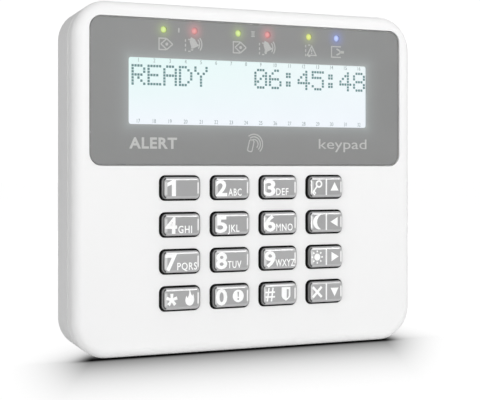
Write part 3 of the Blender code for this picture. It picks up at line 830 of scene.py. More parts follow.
def open_box_sign(shape, at, reach=1.7):
    """Box outline whose right side is left open."""
    sign_line(shape, [(reach, 2), (-2.4, 2), (-2.4, -2), (reach, -2)], at)


def dashed_box_sign(shape, at):
    for side in (-1, 1):
        sign_line(shape, [(-1.1, 2.1 * side), (-0.2, 2.1 * side)], at)
        sign_line(shape, [(-2.2, 2.1 * side), (-2.2, 1.2 * side)], at)
    sign_line(shape, [(-2.2, -0.5), (-2.2, 0.5)], at)


def armed_sign(shape, at):
    """An open box with an eye at its right."""
    open_box_sign(shape, at, 0.3)
    eye = beside(at, 0.6, 0)
    for side in (-1, 1):
        sign_line(shape, [(-2.3, 0), (0, 1.9 * side), (2.3, 0)], eye)
    sign(shape, circle(0.55, eye))


def bell_sign(shape, at):
    dashed_box_sign(shape, beside(at, -0.9, -0.5))
    bell = [(-2, -1.6), (2, -1.6), (1.35, -0.7), (1.1, 1.2), (0, 2.4), (-1.1, 1.2), (-1.35, -0.7)]
    sign(shape, turned(moved(bell, beside(at, 0.2, 0.3)), 25, beside(at, 0.2, 0)))
    sign(shape, circle(0.5, beside(at, -0.5, -1.9), 16))
    for radius in (2.5, 3.4):
        sign_line(shape, arc(radius, -38, 42), at)


def trouble_sign(shape, at):
    """A warning triangle on a dashed box."""
    dashed_box_sign(shape, at)
    middle = beside(at, 0.4, 0)
    outline = moved([(-2.3, -1.9), (2.3, -1.9), (0, 2.2)], middle)
    sign(shape, outline, moved([(0, 1.25), (1.55, -1.45), (-1.55, -1.45)], middle))
    sign_line(shape, [(0, 0.5), (0, -0.5)], middle, 0.5)
    sign(shape, circle(0.26, beside(middle, 0, -0.98), 12))


def service_sign(shape, at):
    """A plug that points into an open box."""
    open_box_sign(shape, beside(at, -0.5, 0))
    sign_line(shape, [(0.9, 0), (2.6, 0)], at, 0.95)
    for side in (-1, 1):
        sign_line(shape, [(-0.7, 1.15 * side), (0.3, 0.7 * side), (1.1, 0)], at, 0.6)


def card_sign(shape, at):
    """A leaning proximity tag with waves spreading from its upper right."""
    pivot = beside(at, -1.5, -0.7)
    tag, hollow = rounded((2.3, 4.7), 0.8, pivot), rounded((1.5, 3.9), 0.5, pivot)
    sign(shape, turned(tag, -14, pivot), turned(hollow, -14, pivot)[::-1])
    for radius in (1.7, 2.65, 3.6):
        sign_line(shape, arc(radius, -48, 128, steps=20), beside(at, -0.2, -0.1))


def build_window_signs():
    """Screen print behind the clear sheet: lamp signs, partition marks, tag sign and two plain words."""
    signs = Shape()
    for x in (-35.2, -5.7):
        armed_sign(signs, (x, SIGN_LEVEL))
    for x in (-24.2, 5.8):
        bell_sign(signs, (x, SIGN_LEVEL + 0.4))
    trouble_sign(signs, (24.5, SIGN_LEVEL))
    service_sign(signs, (36.5, SIGN_LEVEL))
    sign_line(signs, [(-29.9, -0.8), (-29.9, 0.8)], (0, LAMP_LEVEL), 0.5)
    for side in (-1, 1):
        sign_line(signs, [(0.35 * side, -0.9), (0.35 * side, 0.9)], (0, LAMP_LEVEL), 0.35)
        sign_line(signs, [(-0.75, 0.9 * side), (0.75, 0.9 * side)], (0, LAMP_LEVEL), 0.25)
    card_sign(signs, (0.6, 12.8))
    piece("window_signs", signs, sign_ink, "window_grey")
    words = Shape()
    words.write("ALERT", 3.9, PRINT_FRONT, 10.9, (-49, -30.6), weight=0.03, spacing=1.1)
    words.write("keypad", 3.9, PRINT_FRONT, 11.2, (28, 49.2))
    piece("window_words", words, name_ink, "window_grey")


# ---------------------------------------------------------------- display

DOT_ROWS = {
    "0": ("01110", "10001", "10011", "10101", "11001", "10001", "01110"),
    "4": ("00010", "00110", "01010", "10010", "11111", "00010", "00010"),
    "5": ("11111", "10000", "11110", "00001", "00001", "10001", "01110"),
    "6": ("00110", "01000", "10000", "11110", "10001", "10001", "01110"),
    "8": ("01110", "10001", "10001", "01110", "10001", "10001", "01110"),
    ":": ("00000", "01100", "01100", "00000", "01100", "01100", "00000"),
    "R": ("11110", "10001", "10001", "11110", "10100", "10010", "10001"),
    "E": ("11111", "10000", "10000", "11110", "10000", "10000", "11111"),
    "A": ("01110", "10001", "10001", "11111", "10001", "10001", "10001"),
    "D": ("11100", "10010", "10001", "10001", "10001", "10010", "11100"),
    "Y": ("10001", "10001", "01010", "00100", "00100", "00100", "00100"),
}
DISPLAY_LINE = "READY   06:45:48"
COLUMN_PITCH = 6.1
DOT_PITCH = (1.11, 1.06)
DOT_SIZE = (0.86, 0.84)
FIRST_LINE_TOP = GLASS.centre[1] + 8.85  # top row of dots
DISPLAY_SHIFT = 0.65  # the glass sits this far to the right of the window's opening
NUMBER_HEIGHT = 1.45
NUMBER_BASES = (10.15, -11.2)  # of the upper and lower rows, from the display's centre


def column_x(column):
    """Middle of one of the display's sixteen columns."""
    return GLASS.centre[0] + DISPLAY_SHIFT + COLUMN_PITCH * (column - 7.5)


def build_display():
    """Lit glass, its dot-matrix line and the row of zone numbers along each long edge."""
    glass = Shape().block(GLASS.centre, (GLASS.back, GLASS.front), GLASS.size, 0.3)
    piece("display_glass", glass, display_light, "lcd_glass", "lcd_glass")
    dots = Shape()
    for column, letter in enumerate(DISPLAY_LINE):
        for row, cells in enumerate(DOT_ROWS.get(letter, ())):
            for place, cell in enumerate(cells):
                if cell == "1":
                    dot = (column_x(column) + DOT_PITCH[0] * (place - 2), FIRST_LINE_TOP - DOT_PITCH[1] * row)
                    dots.prism(rectangle(DOT_SIZE, dot), GLASS.front - INK, GLASS.front + INK)
    piece("display_dots", dots, display_dots, "lcd_glass")
    numbers = Shape()
    for column in range(16):
        for first, base in zip((1, 17), NUMBER_BASES):
            line = GLASS.centre[1] + base
            numbers.write(str(column + first), NUMBER_HEIGHT, GLASS.front, line, centre=column_x(column))
    piece("display_zone_numbers", numbers, display_ghost, "lcd_glass")


# ---------------------------------------------------------------- keys

# The letters on a key and where they begin and end
LETTERS = {
    "key_2": ("ABC", -1.4, 4.0),
    "key_3": ("DEF", -1.6, 3.6),
    "key_4": ("GHI", -1.4, 4.0),
    "key_5": ("JKL", -1.6, 3.1),
    "key_6": ("MNO", -1.6, 5.4),
    "key_7": ("PQRS", -1.8, 6.0),
    "key_8": ("TUV", -1.7, 3.9),
    "key_9": ("WXYZ", -1.9, 6.3),
}
DIGIT_HEIGHT = 5.75
DIGIT_SPAN = (-6.4, -1.85)
LETTER_HEIGHT = 2.65
LEGEND_BASE = -2.85
LEFT_MARK = (-3.95, 0)
PEN = 0.62


def key_edge_profile():
    """(inset, drop) points of the cap's edge, from its side to its flat top, which a narrow facet borders."""
    steps = 10
    tilts = [KEY_FACET_TILT] * 3
    runs = [KEY_FACET_WIDTH * part for part in (0.1, 0.8, 0.1)]
    for step in range(steps):
        tilts.append(KEY_FACET_TILT + 4 + (KEY_EDGE_STEEP - KEY_FACET_TILT) * ((step + 1) / steps) ** 1.5)
        runs.append((KEY_EDGE_WIDTH - KEY_FACET_WIDTH) / steps)
    points = [(KEY_EDGE_WIDTH, 0.0)]
    for tilt, run in zip(tilts, runs):
        inset, drop = points[-1]
        points.append((inset - run, drop + run * math.tan(math.radians(tilt))))
    return points[::-1]


def key_cap():
    """Key about its own centre: stem, flange, and a head whose edge rolls over to a flat top."""
    back = box_of("key_1").back
    stem, flange, head = rounded(KEY_STEM, 0.8), rounded(KEY_FLANGE, 1.5), rounded(KEY_HEAD, KEY_HEAD_RADIUS)
    sections = [
        (rounded(grown(KEY_STEM, -0.3), 0.5), back), (stem, back + 0.3), (stem, KEY_FLANGE_BACK),
        (flange, KEY_FLANGE_BACK), (flange, KEY_FLANGE_FRONT), (head, KEY_FLANGE_FRONT),
    ]
    for inset, drop in key_edge_profile():
        outline = rounded(grown(KEY_HEAD, -inset), max(KEY_HEAD_RADIUS - inset, 0.3))
        sections.append((outline, KEY_TOP - drop))
    return Shape().loft(sections)


def on_cap(shape, loops, layer=0):
    """Prints a flat shape on the cap. Shapes that cross take different layers, so that no faces coincide."""
    shape.plate(loops, KEY_TOP - 0.5 * INK, KEY_TOP + INK * (1 - 0.1 * layer))


def figure_one(shape):
    points = [(-3.9, 0), (-2.3, 0), (-2.3, DIGIT_HEIGHT), (-3.5, DIGIT_HEIGHT), (-5.6, 4.75), (-5.6, 3.35)]
    on_cap(shape, [moved([*points, (-3.9, 4.1)], (0, LEGEND_BASE))])


def asterisk(shape):
    for arm in range(5):
        bar = turned([(-0.42, 0), (0.42, 0), (0.62, 2.2), (-0.62, 2.2)], 72 * arm)
        on_cap(shape, [moved(bar, (-3.9, -0.3))], arm)


def flame(shape):
    points = [(0, 2.9), (0.55, 1.5), (1.05, 0.9), (1.35, 1.5), (1.75, -0.6), (1.1, -2.1), (0, -2.6)]
    points += [(-1.2, -2.1), (-1.75, -0.7), (-1.3, 0.9), (-0.9, 0.2), (-0.35, 1.2)]
    on_cap(shape, [smooth_loop(moved(points[::-1], (3.1, 0)))])


def circled_mark(shape):
    centre = (2.6, 0)
    stem = moved([(-0.32, 1.5), (-0.18, -0.35), (0.18, -0.35), (0.32, 1.5)], centre)
    dot = circle(0.33, beside(centre, 0, -1.1), 16)
    on_cap(shape, [circle(2.25, centre), stem, dot[::-1]])


def hash_sign(shape):
    centre = (-4.1, -0.1)
    for step in (-0.85, 0.85):
        on_cap(shape, [stroke(moved([(step - 0.35, -2.5), (step + 0.35, 2.5)], centre), PEN)])
        on_cap(shape, [stroke(moved([(-2, step), (2, step)], centre), PEN)], 1)


def shield(shape):
    """A shield whose right half is open."""
    half_width, top, tip = 1.85, 2.4, 2.6
    shoulder = tip * 0.35
    right = [(half_width * 0.72, -shoulder * 1.9), (half_width, -shoulder), (half_width, top)]
    left = [(-x, z) for x, z in right[::-1]]
    hole = [(0.3, -1.75), (0.95, -1.3), (1.15, -0.6), (1.15, 1.6), (0.3, 1.6)]
    on_cap(shape, [moved([(0, -tip), *right, *left], (2.55, 0)), moved(hole, (2.55, 0))[::-1]])


def door_key(shape):
    bow = (-3.2, 1.15)
    on_cap(shape, [circle(1.45, bow), circle(0.78, bow)[::-1]])
    root, tip = Vector(beside(bow, -0.95, -1)), Vector((-5.9, -2.1))
    on_cap(shape, [stroke([root, tip], PEN)], 1)
    for share in (0.72, 0.97):
        start = root.lerp(tip, share)
        on_cap(shape, [stroke([start, start + Vector((0.85, -0.95))], 0.55)], 2)


def moon(shape):
    """A disc with a rounder bite out of its right side."""
    centre, bite = (-3, 0), (-1.1, 0)
    outer = arc(2.75, 75, 285, centre, 24)
    lean = math.degrees(math.atan2(outer[0][1], outer[0][0] - bite[0]))
    inner = arc(math.dist(bite, outer[0]), 360 - lean, lean, bite, 24)[1:-1]
    on_cap(shape, [outer + inner])


def sun(shape):
    on_cap(shape, [circle(1.3, LEFT_MARK)])
    for ray in range(8):
        tooth = turned([(-0.3, 1.75), (0.3, 1.75), (0.3, 2.45), (-0.3, 2.45)], 45 * ray)
        on_cap(shape, [moved(tooth, LEFT_MARK)])


def cross(shape):
    for layer in (0, 1):
        bar = turned(rectangle((0.95, 5.4)), 45 + 90 * layer)
        on_cap(shape, [moved(bar, LEFT_MARK)], layer)


def arrow(degrees):
    points = turned([(-1.75, -1.35), (1.75, -1.35), (0, 1.85)], degrees)
    return lambda shape: on_cap(shape, [moved(points, (3.6, 0))])


def divider(shape):
    on_cap(shape, [rectangle((0.58, 6))])


SYMBOLS = {
    "key_1": (figure_one,),
    "key_star": (asterisk, flame),
    "key_0": (circled_mark,),
    "key_hash": (hash_sign, shield),
    "key_up": (door_key, divider, arrow(0)),
    "key_left": (moon, divider, arrow(90)),
    "key_right": (sun, divider, arrow(-90)),
    "key_down": (cross, divider, arrow(180)),
}


def build_keys():
    """Sixteen caps that share one mesh, each with its own printed legend."""
    names = [node.removeprefix("key_") for node in KEYS]
    centres = [box_of(node).centre for node in KEYS]
    bodies = [node + "_button" for node in KEYS]
    pattern = new_object("cap_pattern", key_cap(), key_grey)
    copies(pattern, ["key_cap_" + name for name in names], 0, centres, "key_grey", KEYS, bodies)
    for node, name, (x, z), body in zip(KEYS, names, centres, bodies):
        print_on = Shape()
        if name in "234567890":
            print_on.write(name, DIGIT_HEIGHT, KEY_TOP, LEGEND_BASE, DIGIT_SPAN, weight=0.03)
        if node in LETTERS:
            letters, *span = LETTERS[node]
            print_on.write(letters, LETTER_HEIGHT, KEY_TOP, LEGEND_BASE, span, weight=0.016, spacing=1.12)
        for draw in SYMBOLS.get(node, ()):
            draw(print_on)
        legend = new_object("key_legend_" + name, print_on, legend_ink)
        legend.location = (x * MM, 0, z * MM)
        finish_piece(legend, "key_grey", body=body)


def build_key_mat():
    """Rubber sheet with a hole for each stem, and a thin black lining in each key opening that also stands in
    for the shade deep in the gap.
    """
    holes = [rounded(grown(KEY_STEM, 0.5), 1, box_of(node).centre)[::-1] for node in KEYS]
    sheet = Shape().plate([rounded(MAT.size, 2, MAT.centre), *holes], MAT.back, MAT.back + 0.9)
    piece("key_mat_sheet", sheet, mat_rubber, "mat_rubber", "key_mat")
    lips = Shape()
    for node in KEYS:
        middle = box_of(node).centre
        opening = rounded(grown(KEY_OPENING, -0.03), KEY_OPENING_RADIUS, middle)
        inside = rounded(grown(KEY_HEAD, 0.15), KEY_HEAD_RADIUS + 0.15, middle)
        lips.plate([opening, inside[::-1]], PLATE_BACK + 0.1, FACE - 0.1)
    piece("key_opening_lips", lips, mat_rubber, "mat_rubber")


# ---------------------------------------------------------------- rear base

WALL_SCREWS = [(x, z) for x in (-42, 42) for z in (-40, 40)]
SCREW_SLOT = (8.5, 4.6)
CABLE_OPENING = (32, 18)
CABLE_CENTRE = (-20, -37)
KNOCK_OUT = (20, 12)
KNOCK_OUT_CENTRE = (24, -40)
RIB_FRONT = 8.5


def slot_profile(edge, front):
    """Pocket in the base's wall that takes a catch's lip."""
    side = math.copysign(1, edge)
    outer = edge - side * 1.7
    inner = edge - side * 3.8
    return [(9.4, inner), (front, inner), (front, outer), (9.4, outer)]


def base_ribs():
    """Short ribs that stiffen the walls, and a kerb round the cable opening."""
    back = FLOOR - 0.5
    side_x, side_z = (length / 2 - 3.6 for length in (BASE.size[0], COVER.size[1]))
    ribs = Shape()
    for level in (-33, -11, 11, 33):
        for x in (-side_x, side_x):
            ribs.prism(rectangle((2.6, 1), (x, level)), back, RIB_FRONT)
    for x in (-16, 0, 16):
        ribs.prism(rectangle((1, 2.6), (x, side_z)), back, RIB_FRONT)
    return ribs.prism(rounded(grown(CABLE_OPENING, 1.2), 3, CABLE_CENTRE), back, FLOOR + 0.9)


def around_slots(shape, margin, back, front):
    """Adds a solid over each wall screw slot, larger than it by a margin."""
    for centre in WALL_SCREWS:
        shape.prism(pill(grown(SCREW_SLOT, margin), centre, 12), back, front)
    return shape


def build_case_back():
    """Wall tray with screw slots, cable opening, catch pockets, ribs, a knock-out and an up arrow."""
    edge_break, rim_break = 0.6, 0.25
    sections = [case_section(edge_break * (1 - c), edge_break * (1 - s)) for c, s in quarter(4)]
    sections += [case_section(BASE.front - rim_break), case_section(BASE.front, rim_break)]
    back = new_object("case_back", Shape().loft(sections), base_white_shaded)
    low = case_inset(FLOOR) + WALL
    cavity = [(case_outline(low + inset), FLOOR + rise) for inset, rise in ((0.8, 0), (0.2, 0.3), (0, 0.9))]
    cavity.append((case_outline(case_inset(BASE.front) + WALL), BASE.front + PASS))
    carve(back, Shape().loft(cavity))
    carve(back, base_ribs(), "UNION")
    carve(back, around_slots(Shape(), 2, FLOOR - 0.7, FLOOR + 0.6), "UNION")
    cuts = Shape().prism(rounded(CABLE_OPENING, 2, CABLE_CENTRE), -PASS, FLOOR + 2 * PASS)
    around_slots(cuts, 0, -PASS, FLOOR + 2 * PASS)
    half_slot = CATCH_WIDTH / 2 + 1.5
    for x in (-CATCH_X, CATCH_X):
        for profile in (slot_profile(COVER.top, 12.3), slot_profile(COVER.bottom, BASE.front + PASS)):
            cuts.bar(profile, x - half_slot, x + half_slot)
    carve(back, cuts)
    outline = rounded(KNOCK_OUT, 1.5, KNOCK_OUT_CENTRE)
    inside = rounded(grown(KNOCK_OUT, -0.5), 1, KNOCK_OUT_CENTRE)
    grooves = Shape().plate([outline, inside[::-1]], -PASS, 0.9)
    around_slots(grooves, 1.6, -PASS, 0.8)
    shaft, head, length = 1.4, 3.6, 5.5
    up_mark = [(-shaft, -length), (shaft, -length), (shaft, 0.5), (head, 0), (0, length)]
    up_mark += [(-head, 0), (-shaft, 0.5)]
    grooves.plate([moved(up_mark, (0, 30))], -PASS, 0.8)
    carve(back, grooves)
    finish_piece(back, "case_white", "rear_base", body="base", angle=40)


# ---------------------------------------------------------------- circuit board

COPPER = 0.035
TRACE_PITCH = 0.9
CHIP = box_of("microcontroller").centre
# Each bundle of traces: both ends and how many
TRACES = (
    ((CHIP[0] - 3, CHIP[1] - 7), (-20, -14), 5),
    ((CHIP[0] + 2, CHIP[1] - 7), (12, -40), 5),
    ((CHIP[0] + 5, CHIP[1] - 7), (44, -23), 2),
    ((CHIP[0] - 2, CHIP[1] + 7), (-14, 50), 8),
    ((CHIP[0] + 3, CHIP[1] + 7), (20, 50), 6),
    ((-42, -8), (-54, 38), 3),
    ((-46, -17), (-38, -48), 4),
    ((52, -8), (40, -48), 3),
    ((56, 8), (56, 40), 3),
)


def on_back(height):
    """Depths of a part this tall that is soldered to the back of the board."""
    return BOARD.back - height, BOARD.back - 0.01


def in_row(count, pitch):
    """Places of this many things, evenly spaced about 0."""
    return [pitch * (index - (count - 1) / 2) for index in range(count)]


def build_board():
    """Board with plated holes, traces and their vias."""
    edge = 0.15
    whole, broken = (rounded(grown(BOARD.size, -inset), 3 - inset) for inset in (0, edge))
    sections = [(broken, BOARD.back), (whole, BOARD.back + edge)]
    sections += [(whole, BOARD.front - edge), (broken, BOARD.front)]
    board = new_object("circuit_board", Shape().loft(sections), board_green)
    holes = Shape()
    for centre in BOSSES:
        holes.prism(circle(1.5, centre), BOARD.back - PASS, BOARD.front + PASS)
    carve(board, holes)
    finish_piece(board, "board_green", "main_circuit_board")
    traces, pads = Shape(), Shape()
    for (x0, z0), (x1, z1), count in TRACES:
        middle, slant = (z0 + z1) / 2, math.copysign(abs(x1 - x0) / 2, z1 - z0)
        for shift in in_row(count, TRACE_PITCH):
            path = moved([(x0, z0), (x0, middle - slant), (x1, middle + slant), (x1, z1)], (shift, 0))
            traces.plate([stroke(path, 0.32)], BOARD.back - COPPER, BOARD.back)
            for centre in (path[0], path[-1]):
                rings = [circle(0.42, centre, 16), circle(0.18, centre, 10)[::-1]]
                pads.plate(rings, BOARD.back - 2 * COPPER, BOARD.back)
    for centre in BOSSES:
        pads.plate([circle(3.1, centre), circle(1.55, centre)[::-1]], BOARD.back - 2 * COPPER, BOARD.back)
    piece("board_traces", traces, trace_green, "board_green")
    piece("board_pads", pads, pin_gold, "board_green")


def small_part_places():
    """Centre of each small chip part and whether it stands upright, in rows beside what they serve."""
    rows = []
    for start, step, count in (
        ((CHIP[0] + 10, CHIP[1] - 4.5), (0, 3), 4),
        ((-43, 12), (3, 0), 7),
        ((-43, 8), (3, 0), 7),
        ((-34, -30), (3, 0), 7),
        ((54, -44), (0, 3), 6),
        ((22, -12), (3, 0), 6),
        ((26, 51.5), (3, 0), 6),
    ):
        rows += [(beside(start, step[0] * index, step[1] * index), step[1] == 0) for index in range(count)]
    return rows


def build_small_parts():
    """Chip resistors and capacitors: a body between two tinned ends, on its printed outline."""
    bodies, ends, outlines = Shape(), Shape(), Shape()

    def frame_line(outer, inner, centre):
        loops = [rectangle(outer, centre), rectangle(inner, centre)[::-1]]
        outlines.plate(loops, BOARD.back - COPPER, BOARD.back)

    for (x, z), upright in small_part_places():
        def way(along, across):
            """Two lengths as (x, z), for a part that lies along x or stands upright."""
            return (across, along) if upright else (along, across)

        bodies.block((x, z), on_back(0.5), way(1, 0.8), 0.06)
        for side in (-0.68, 0.68):
            ends.block(beside((x, z), *way(side, 0)), on_back(0.53), way(0.36, 0.84), 0.05)
        frame_line(way(2.4, 1.4), grown(way(2.4, 1.4), -0.12), (x, z))
    for node in ("terminal_block", "service_pin_header"):
        around = box_of(node)
        frame_line(grown(around.size, 0.6), grown(around.size, 0.4), around.centre)
    piece("chip_part_bodies", bodies, ceramic, "board_green")
    piece("chip_part_ends", ends, tinned, "board_green")
    piece("board_silk_lines", outlines, silk_white, "board_green")


def leads(centre, half, count, pitch, sides, length):
    """Gull-wing leads along the sides of a package whose body reaches half from its centre."""
    shape = Shape()
    # Each stretch of a lead: where it starts and ends, in lengths, and how far it stands off the board
    stretches = ((0, 0.45, 0.85, 0.65), (0.3, 0.5, 0.85, 0.05), (0.4, 1, 0.22, 0.02))
    for angle in sides:
        for offset in in_row(count, pitch):
            for start, end, far, near in stretches:
                middle = (half + length * (start + end) / 2, offset)
                outline = turned(rectangle((length * (end - start), pitch * 0.45), middle), angle)
                shape.prism(moved(outline, centre), BOARD.back - far, BOARD.back - near)
    return shape


def package(name, node, drop, size, height, mark):
    """Moulded body, this far below its node's centre, with drafted sides and a dimple by its first lead."""
    centre = beside(box_of(node).centre, 0, -drop)
    top = BOARD.back - height
    wide, narrow = (rounded(grown(size, -inset), 0.2, centre, 3) for inset in (0, 0.18))
    body = Shape().loft([(narrow, top), (wide, BOARD.back - height / 2), (narrow, BOARD.back - 0.1)])
    dimple = beside(centre, mark - size[0] / 2, size[1] / 2 - mark)
    body.prism(circle(0.45, dimple, 20), top - 0.02, top + 0.1, 1)
    piece(name, body, [black_plastic, trace_green], "black_plastic", node)


def build_chips():
    """Controller, bus driver and regulator with their leads."""
    package("controller_body", "microcontroller", 0, (10, 10), 1.45, 1.2)
    piece("controller_leads", leads(CHIP, 5, 16, 0.5, (0, 90, 180, 270), 0.98), tinned, "screw_steel")
    package("bus_driver_body", "bus_driver_chip", 0, (3.9, 3.8), 1.5, 0.8)
    driver = box_of("bus_driver_chip").centre
    piece("bus_driver_leads", leads(driver, 1.95, 4, 0.95, (0, 180), 0.55), tinned, "screw_steel")
    package("regulator_body", "voltage_regulator", 0.4, (6.4, 5), 2.2, 1.2)
    regulator = box_of("voltage_regulator").centre
    depths = (BOARD.back - 0.6, BOARD.back - 0.02)
    metalwork = Shape().block(beside(regulator, 0, 2.4), depths, (5.4, 1.4), 0.1)
    for x in in_row(3, 2.2):
        metalwork.block(beside(regulator, x, -3), depths, (0.7, 0.4), 0.05)
    piece("regulator_tab_and_legs", metalwork, tinned, "screw_steel")


def build_crystal():
    """Stadium-shaped can on its flange."""
    can = box_of("quartz_crystal")
    wall = grown(can.size, -0.45)
    sections = [
        (rounded(grown(wall, -0.35), wall[1] / 2 - 0.36, can.centre), can.back),
        (pill(wall, can.centre), can.back + 0.35), (pill(wall, can.centre), can.front - 0.5),
        (pill(can.size, can.centre), can.front - 0.45), (pill(can.size, can.centre), can.front),
    ]
    piece("crystal_can", Shape().loft(sections), screw_steel, "screw_steel", "quartz_crystal")


def build_capacitor():
    """Sleeved can with a crimp ring, a scored vent and a stripe down its negative side."""
    can = box_of("electrolytic_capacitor")
    radius, top = can.size[0] / 2, can.back
    profile = [
        (radius - 0.45, top), (radius - 0.1, top + 0.35), (radius - 0.1, can.front - 1.7),
        (radius - 0.4, can.front - 1.35), (radius - 0.1, can.front - 1), (radius - 0.1, can.front),
    ]
    body = new_object("capacitor_can", Shape().lathe(profile, can.centre, 48), screw_steel)
    for angle in (45, -45):
        score = turned(rectangle((0.25, 3.6), can.centre), angle, can.centre)
        carve(body, Shape().prism(score, top - PASS, top + 0.12))
    finish_piece(body, "screw_steel", "electrolytic_capacitor")
    sleeve = Shape()
    for start, end, material in ((30, 330, 0), (-30, 30, 1)):
        band = arc(radius, start, end, can.centre, 36) + arc(radius - 0.08, end, start, can.centre, 36)
        sleeve.plate([band], top + 0.6, can.front - 1.8, material)
    piece("capacitor_sleeve", sleeve, [black_plastic, silk_white], "black_plastic")


# A recess: the angles of its bars, their reach in radii, and what is left of the reach at their foot
CROSS_RECESS = ((0, 90), 1.15, 0.5)
SLOT_RECESS = ((35,), 2.4, 1)


def screw_head(radius, height, recess):
    """Pan head about the origin, its drive facing the wall, with a recess cut in it."""
    dome = [(radius * c, height * 0.62 * (1 - s)) for c, s in waves((75, 60, 45, 30, 15, 0))]
    head = new_object("head_pattern", Shape().lathe([*dome, (radius, height)], steps=40), screw_steel)
    angles, reach, foot = recess
    for angle in angles:
        wide = turned(rectangle((radius * 0.26, radius * reach)), angle)
        narrow = turned(rectangle((radius * 0.16, radius * reach * foot)), angle)
        carve(head, Shape().loft([(wide, -PASS), (wide, height * 0.1), (narrow, height * 0.72)]))
    return head


def build_screws():
    """Four board screws with cross recesses, each with a thread running into its boss."""
    first = box_of("board_screw_1")
    head_height, length, pitch = 1.8, first.front - first.back, 0.7
    head = screw_head(first.size[0] / 2, head_height, CROSS_RECESS)
    screw = Shape()
    screw.bm.from_mesh(head.data)
    bpy.data.objects.remove(head)
    shank = [(1, head_height - 0.1)]
    for turn in range(round((length - 0.6 - head_height) / pitch)):
        depth = head_height + turn * pitch
        shank += [(1.28, depth + pitch * 0.35), (0.95, depth + pitch)]
    pattern = new_object("screw_pattern", screw.lathe([*shank, (0.2, length)], steps=24), screw_steel)
    names = [f"board_screw_with_recess_{index}" for index in (1, 2, 3, 4)]
    nodes = [f"board_screw_{index}" for index in (1, 2, 3, 4)]
    copies(pattern, names, first.back, BOSSES, "screw_steel", nodes, ["cover"] * 4)


def build_terminal_block():
    """Four wire clamps: bevelled housing, funnelled entries, steel cages and slotted screws."""
    housing = box_of("terminal_block")
    nodes = [f"terminal_screw_{index}" for index in (1, 2, 3, 4)]
    screws = [box_of(node) for node in nodes]
    low, high, back, front = housing.bottom, housing.top, housing.back, housing.front
    profile = [(back, low + 2.2), (back, high - 0.8), (back + 0.8, high), (front, high), (front, low)]
    profile.append((back + 2, low))
    clamps = new_object("terminal_housing", Shape().bar(profile, housing.left, housing.right), terminal_green)
    well_front = back + 2.6
    cuts, seams, cages = Shape(), Shape(), Shape()
    for screw in screws:
        well = [(2.2, back - PASS), (2.2, back + 0.05), (1.85, back + 0.4), (1.85, well_front)]
        cuts.lathe(well, screw.centre, 28)
        cuts.prism(rectangle((3.2, 9), (screw.centre[0], low)), well_front + 0.6, well_front + 3.8)
    carve(clamps, cuts)
    for first, second in zip(screws, screws[1:]):
        x = (first.centre[0] + second.centre[0]) / 2
        seams.prism(rectangle((0.25, 30), (x, housing.centre[1])), back - PASS, back + 0.3)
    carve(clamps, seams)
    finish_piece(clamps, "terminal_green", "terminal_block")
    near, far = well_front + 0.7, well_front + 3.7
    for screw in screws:
        middle = (screw.centre[0], low + 2.8)
        for depths in ((near, near + 0.5), (far - 0.5, far)):
            cages.plate([rectangle((3, 3), middle)], *depths)
        for side in (-1.3, 1.3):
            cages.prism(rectangle((0.4, 3), beside(middle, side, 0)), near, far)
    piece("terminal_cages", cages, tinned, "screw_steel")
    pattern = screw_head(screws[0].size[0] / 2, screws[0].front - screws[0].back, SLOT_RECESS)
    names = [f"terminal_slotted_screw_{index}" for index in (1, 2, 3, 4)]
    centres = [screw.centre for screw in screws]
    copies(pattern, names, screws[0].back, centres, "screw_steel", nodes, ["cover"] * 4)


def build_tamper_switch():
    """Switch body with a steel cover held by four crimps, and its plunger with a round tip."""
    switch, plunger = box_of("tamper_switch"), box_of("tamper_plunger")
    centre, back = switch.centre, switch.back
    housing = Shape().block(centre, (back + 0.4, switch.front), switch.size, 0.3)
    body = new_object("tamper_body", housing, black_plastic)
    carve(body, Shape().prism(circle(1.8, centre), back - PASS, 9.6))
    finish_piece(body, "black_plastic", "tamper_switch")
    sheet = rounded(grown(switch.size, -0.1), 0.5, centre)
    lid = Shape().plate([sheet, circle(2.1, centre)[::-1]], back, back + 0.38)
    for spot in rectangle((5.2, 5.2), centre):
        lid.block(spot, (back, back + 1.2), (0.9, 0.9), 0.15)
    piece("tamper_cover_plate", lid, tinned, "screw_steel")
    radius, groove = plunger.size[0] / 2, plunger.back + 2.6
    tip = [(radius * c, plunger.back + 0.9 * (1 - s)) for c, s in waves((80, 60, 40, 20, 0))]
    tip += [
        (radius, groove), (radius - 0.2, groove + 0.2), (radius - 0.2, groove + 0.5), (radius, groove + 0.7),
        (radius, plunger.front),
    ]
    button = Shape().lathe(tip, centre)
    piece("tamper_button", button, screw_steel, "screw_steel", "tamper_plunger", body="tamper_contact")


def build_buzzer():
    """Round sounder: rolled edge, sound port, a ring groove and a printed plus."""
    can = box_of("buzzer")
    radius, edge, steps = can.size[0] / 2, 0.7, 64
    profile = [(radius - edge * (1 - s), can.back + edge * (1 - c)) for c, s in quarter(3)]
    shell = Shape().lathe([*profile, (radius, can.front)], can.centre, steps)
    sounder = new_object("buzzer_can", shell, black_plastic)
    cuts = Shape().prism(circle(1.2, can.centre), can.back - PASS, can.back + 2)
    rings = [circle(radius - 1.6, can.centre, steps), circle(radius - 2, can.centre, steps)[::-1]]
    cuts.plate(rings, can.back - PASS, can.back + 0.2)
    carve(sounder, cuts)
    finish_piece(sounder, "black_plastic", "buzzer")
    plus = Shape()
    for size in ((1.6, 0.35), (0.35, 1.6)):
        plus.prism(rectangle(size, beside(can.centre, -4.6, 0)), can.back, can.back + 0.05)
    piece("buzzer_plus_mark", plus, silk_white, "black_plastic")


def offset(outline, by):
    """The outline with each point moved out along its own normal."""
    points = []
    for i, (x, z) in enumerate(outline):
        along = (Vector(outline[(i + 1) % len(outline)]) - Vector(outline[i - 1])).normalized()
        points.append((x + along.y * by, z - along.x * by))
    return points


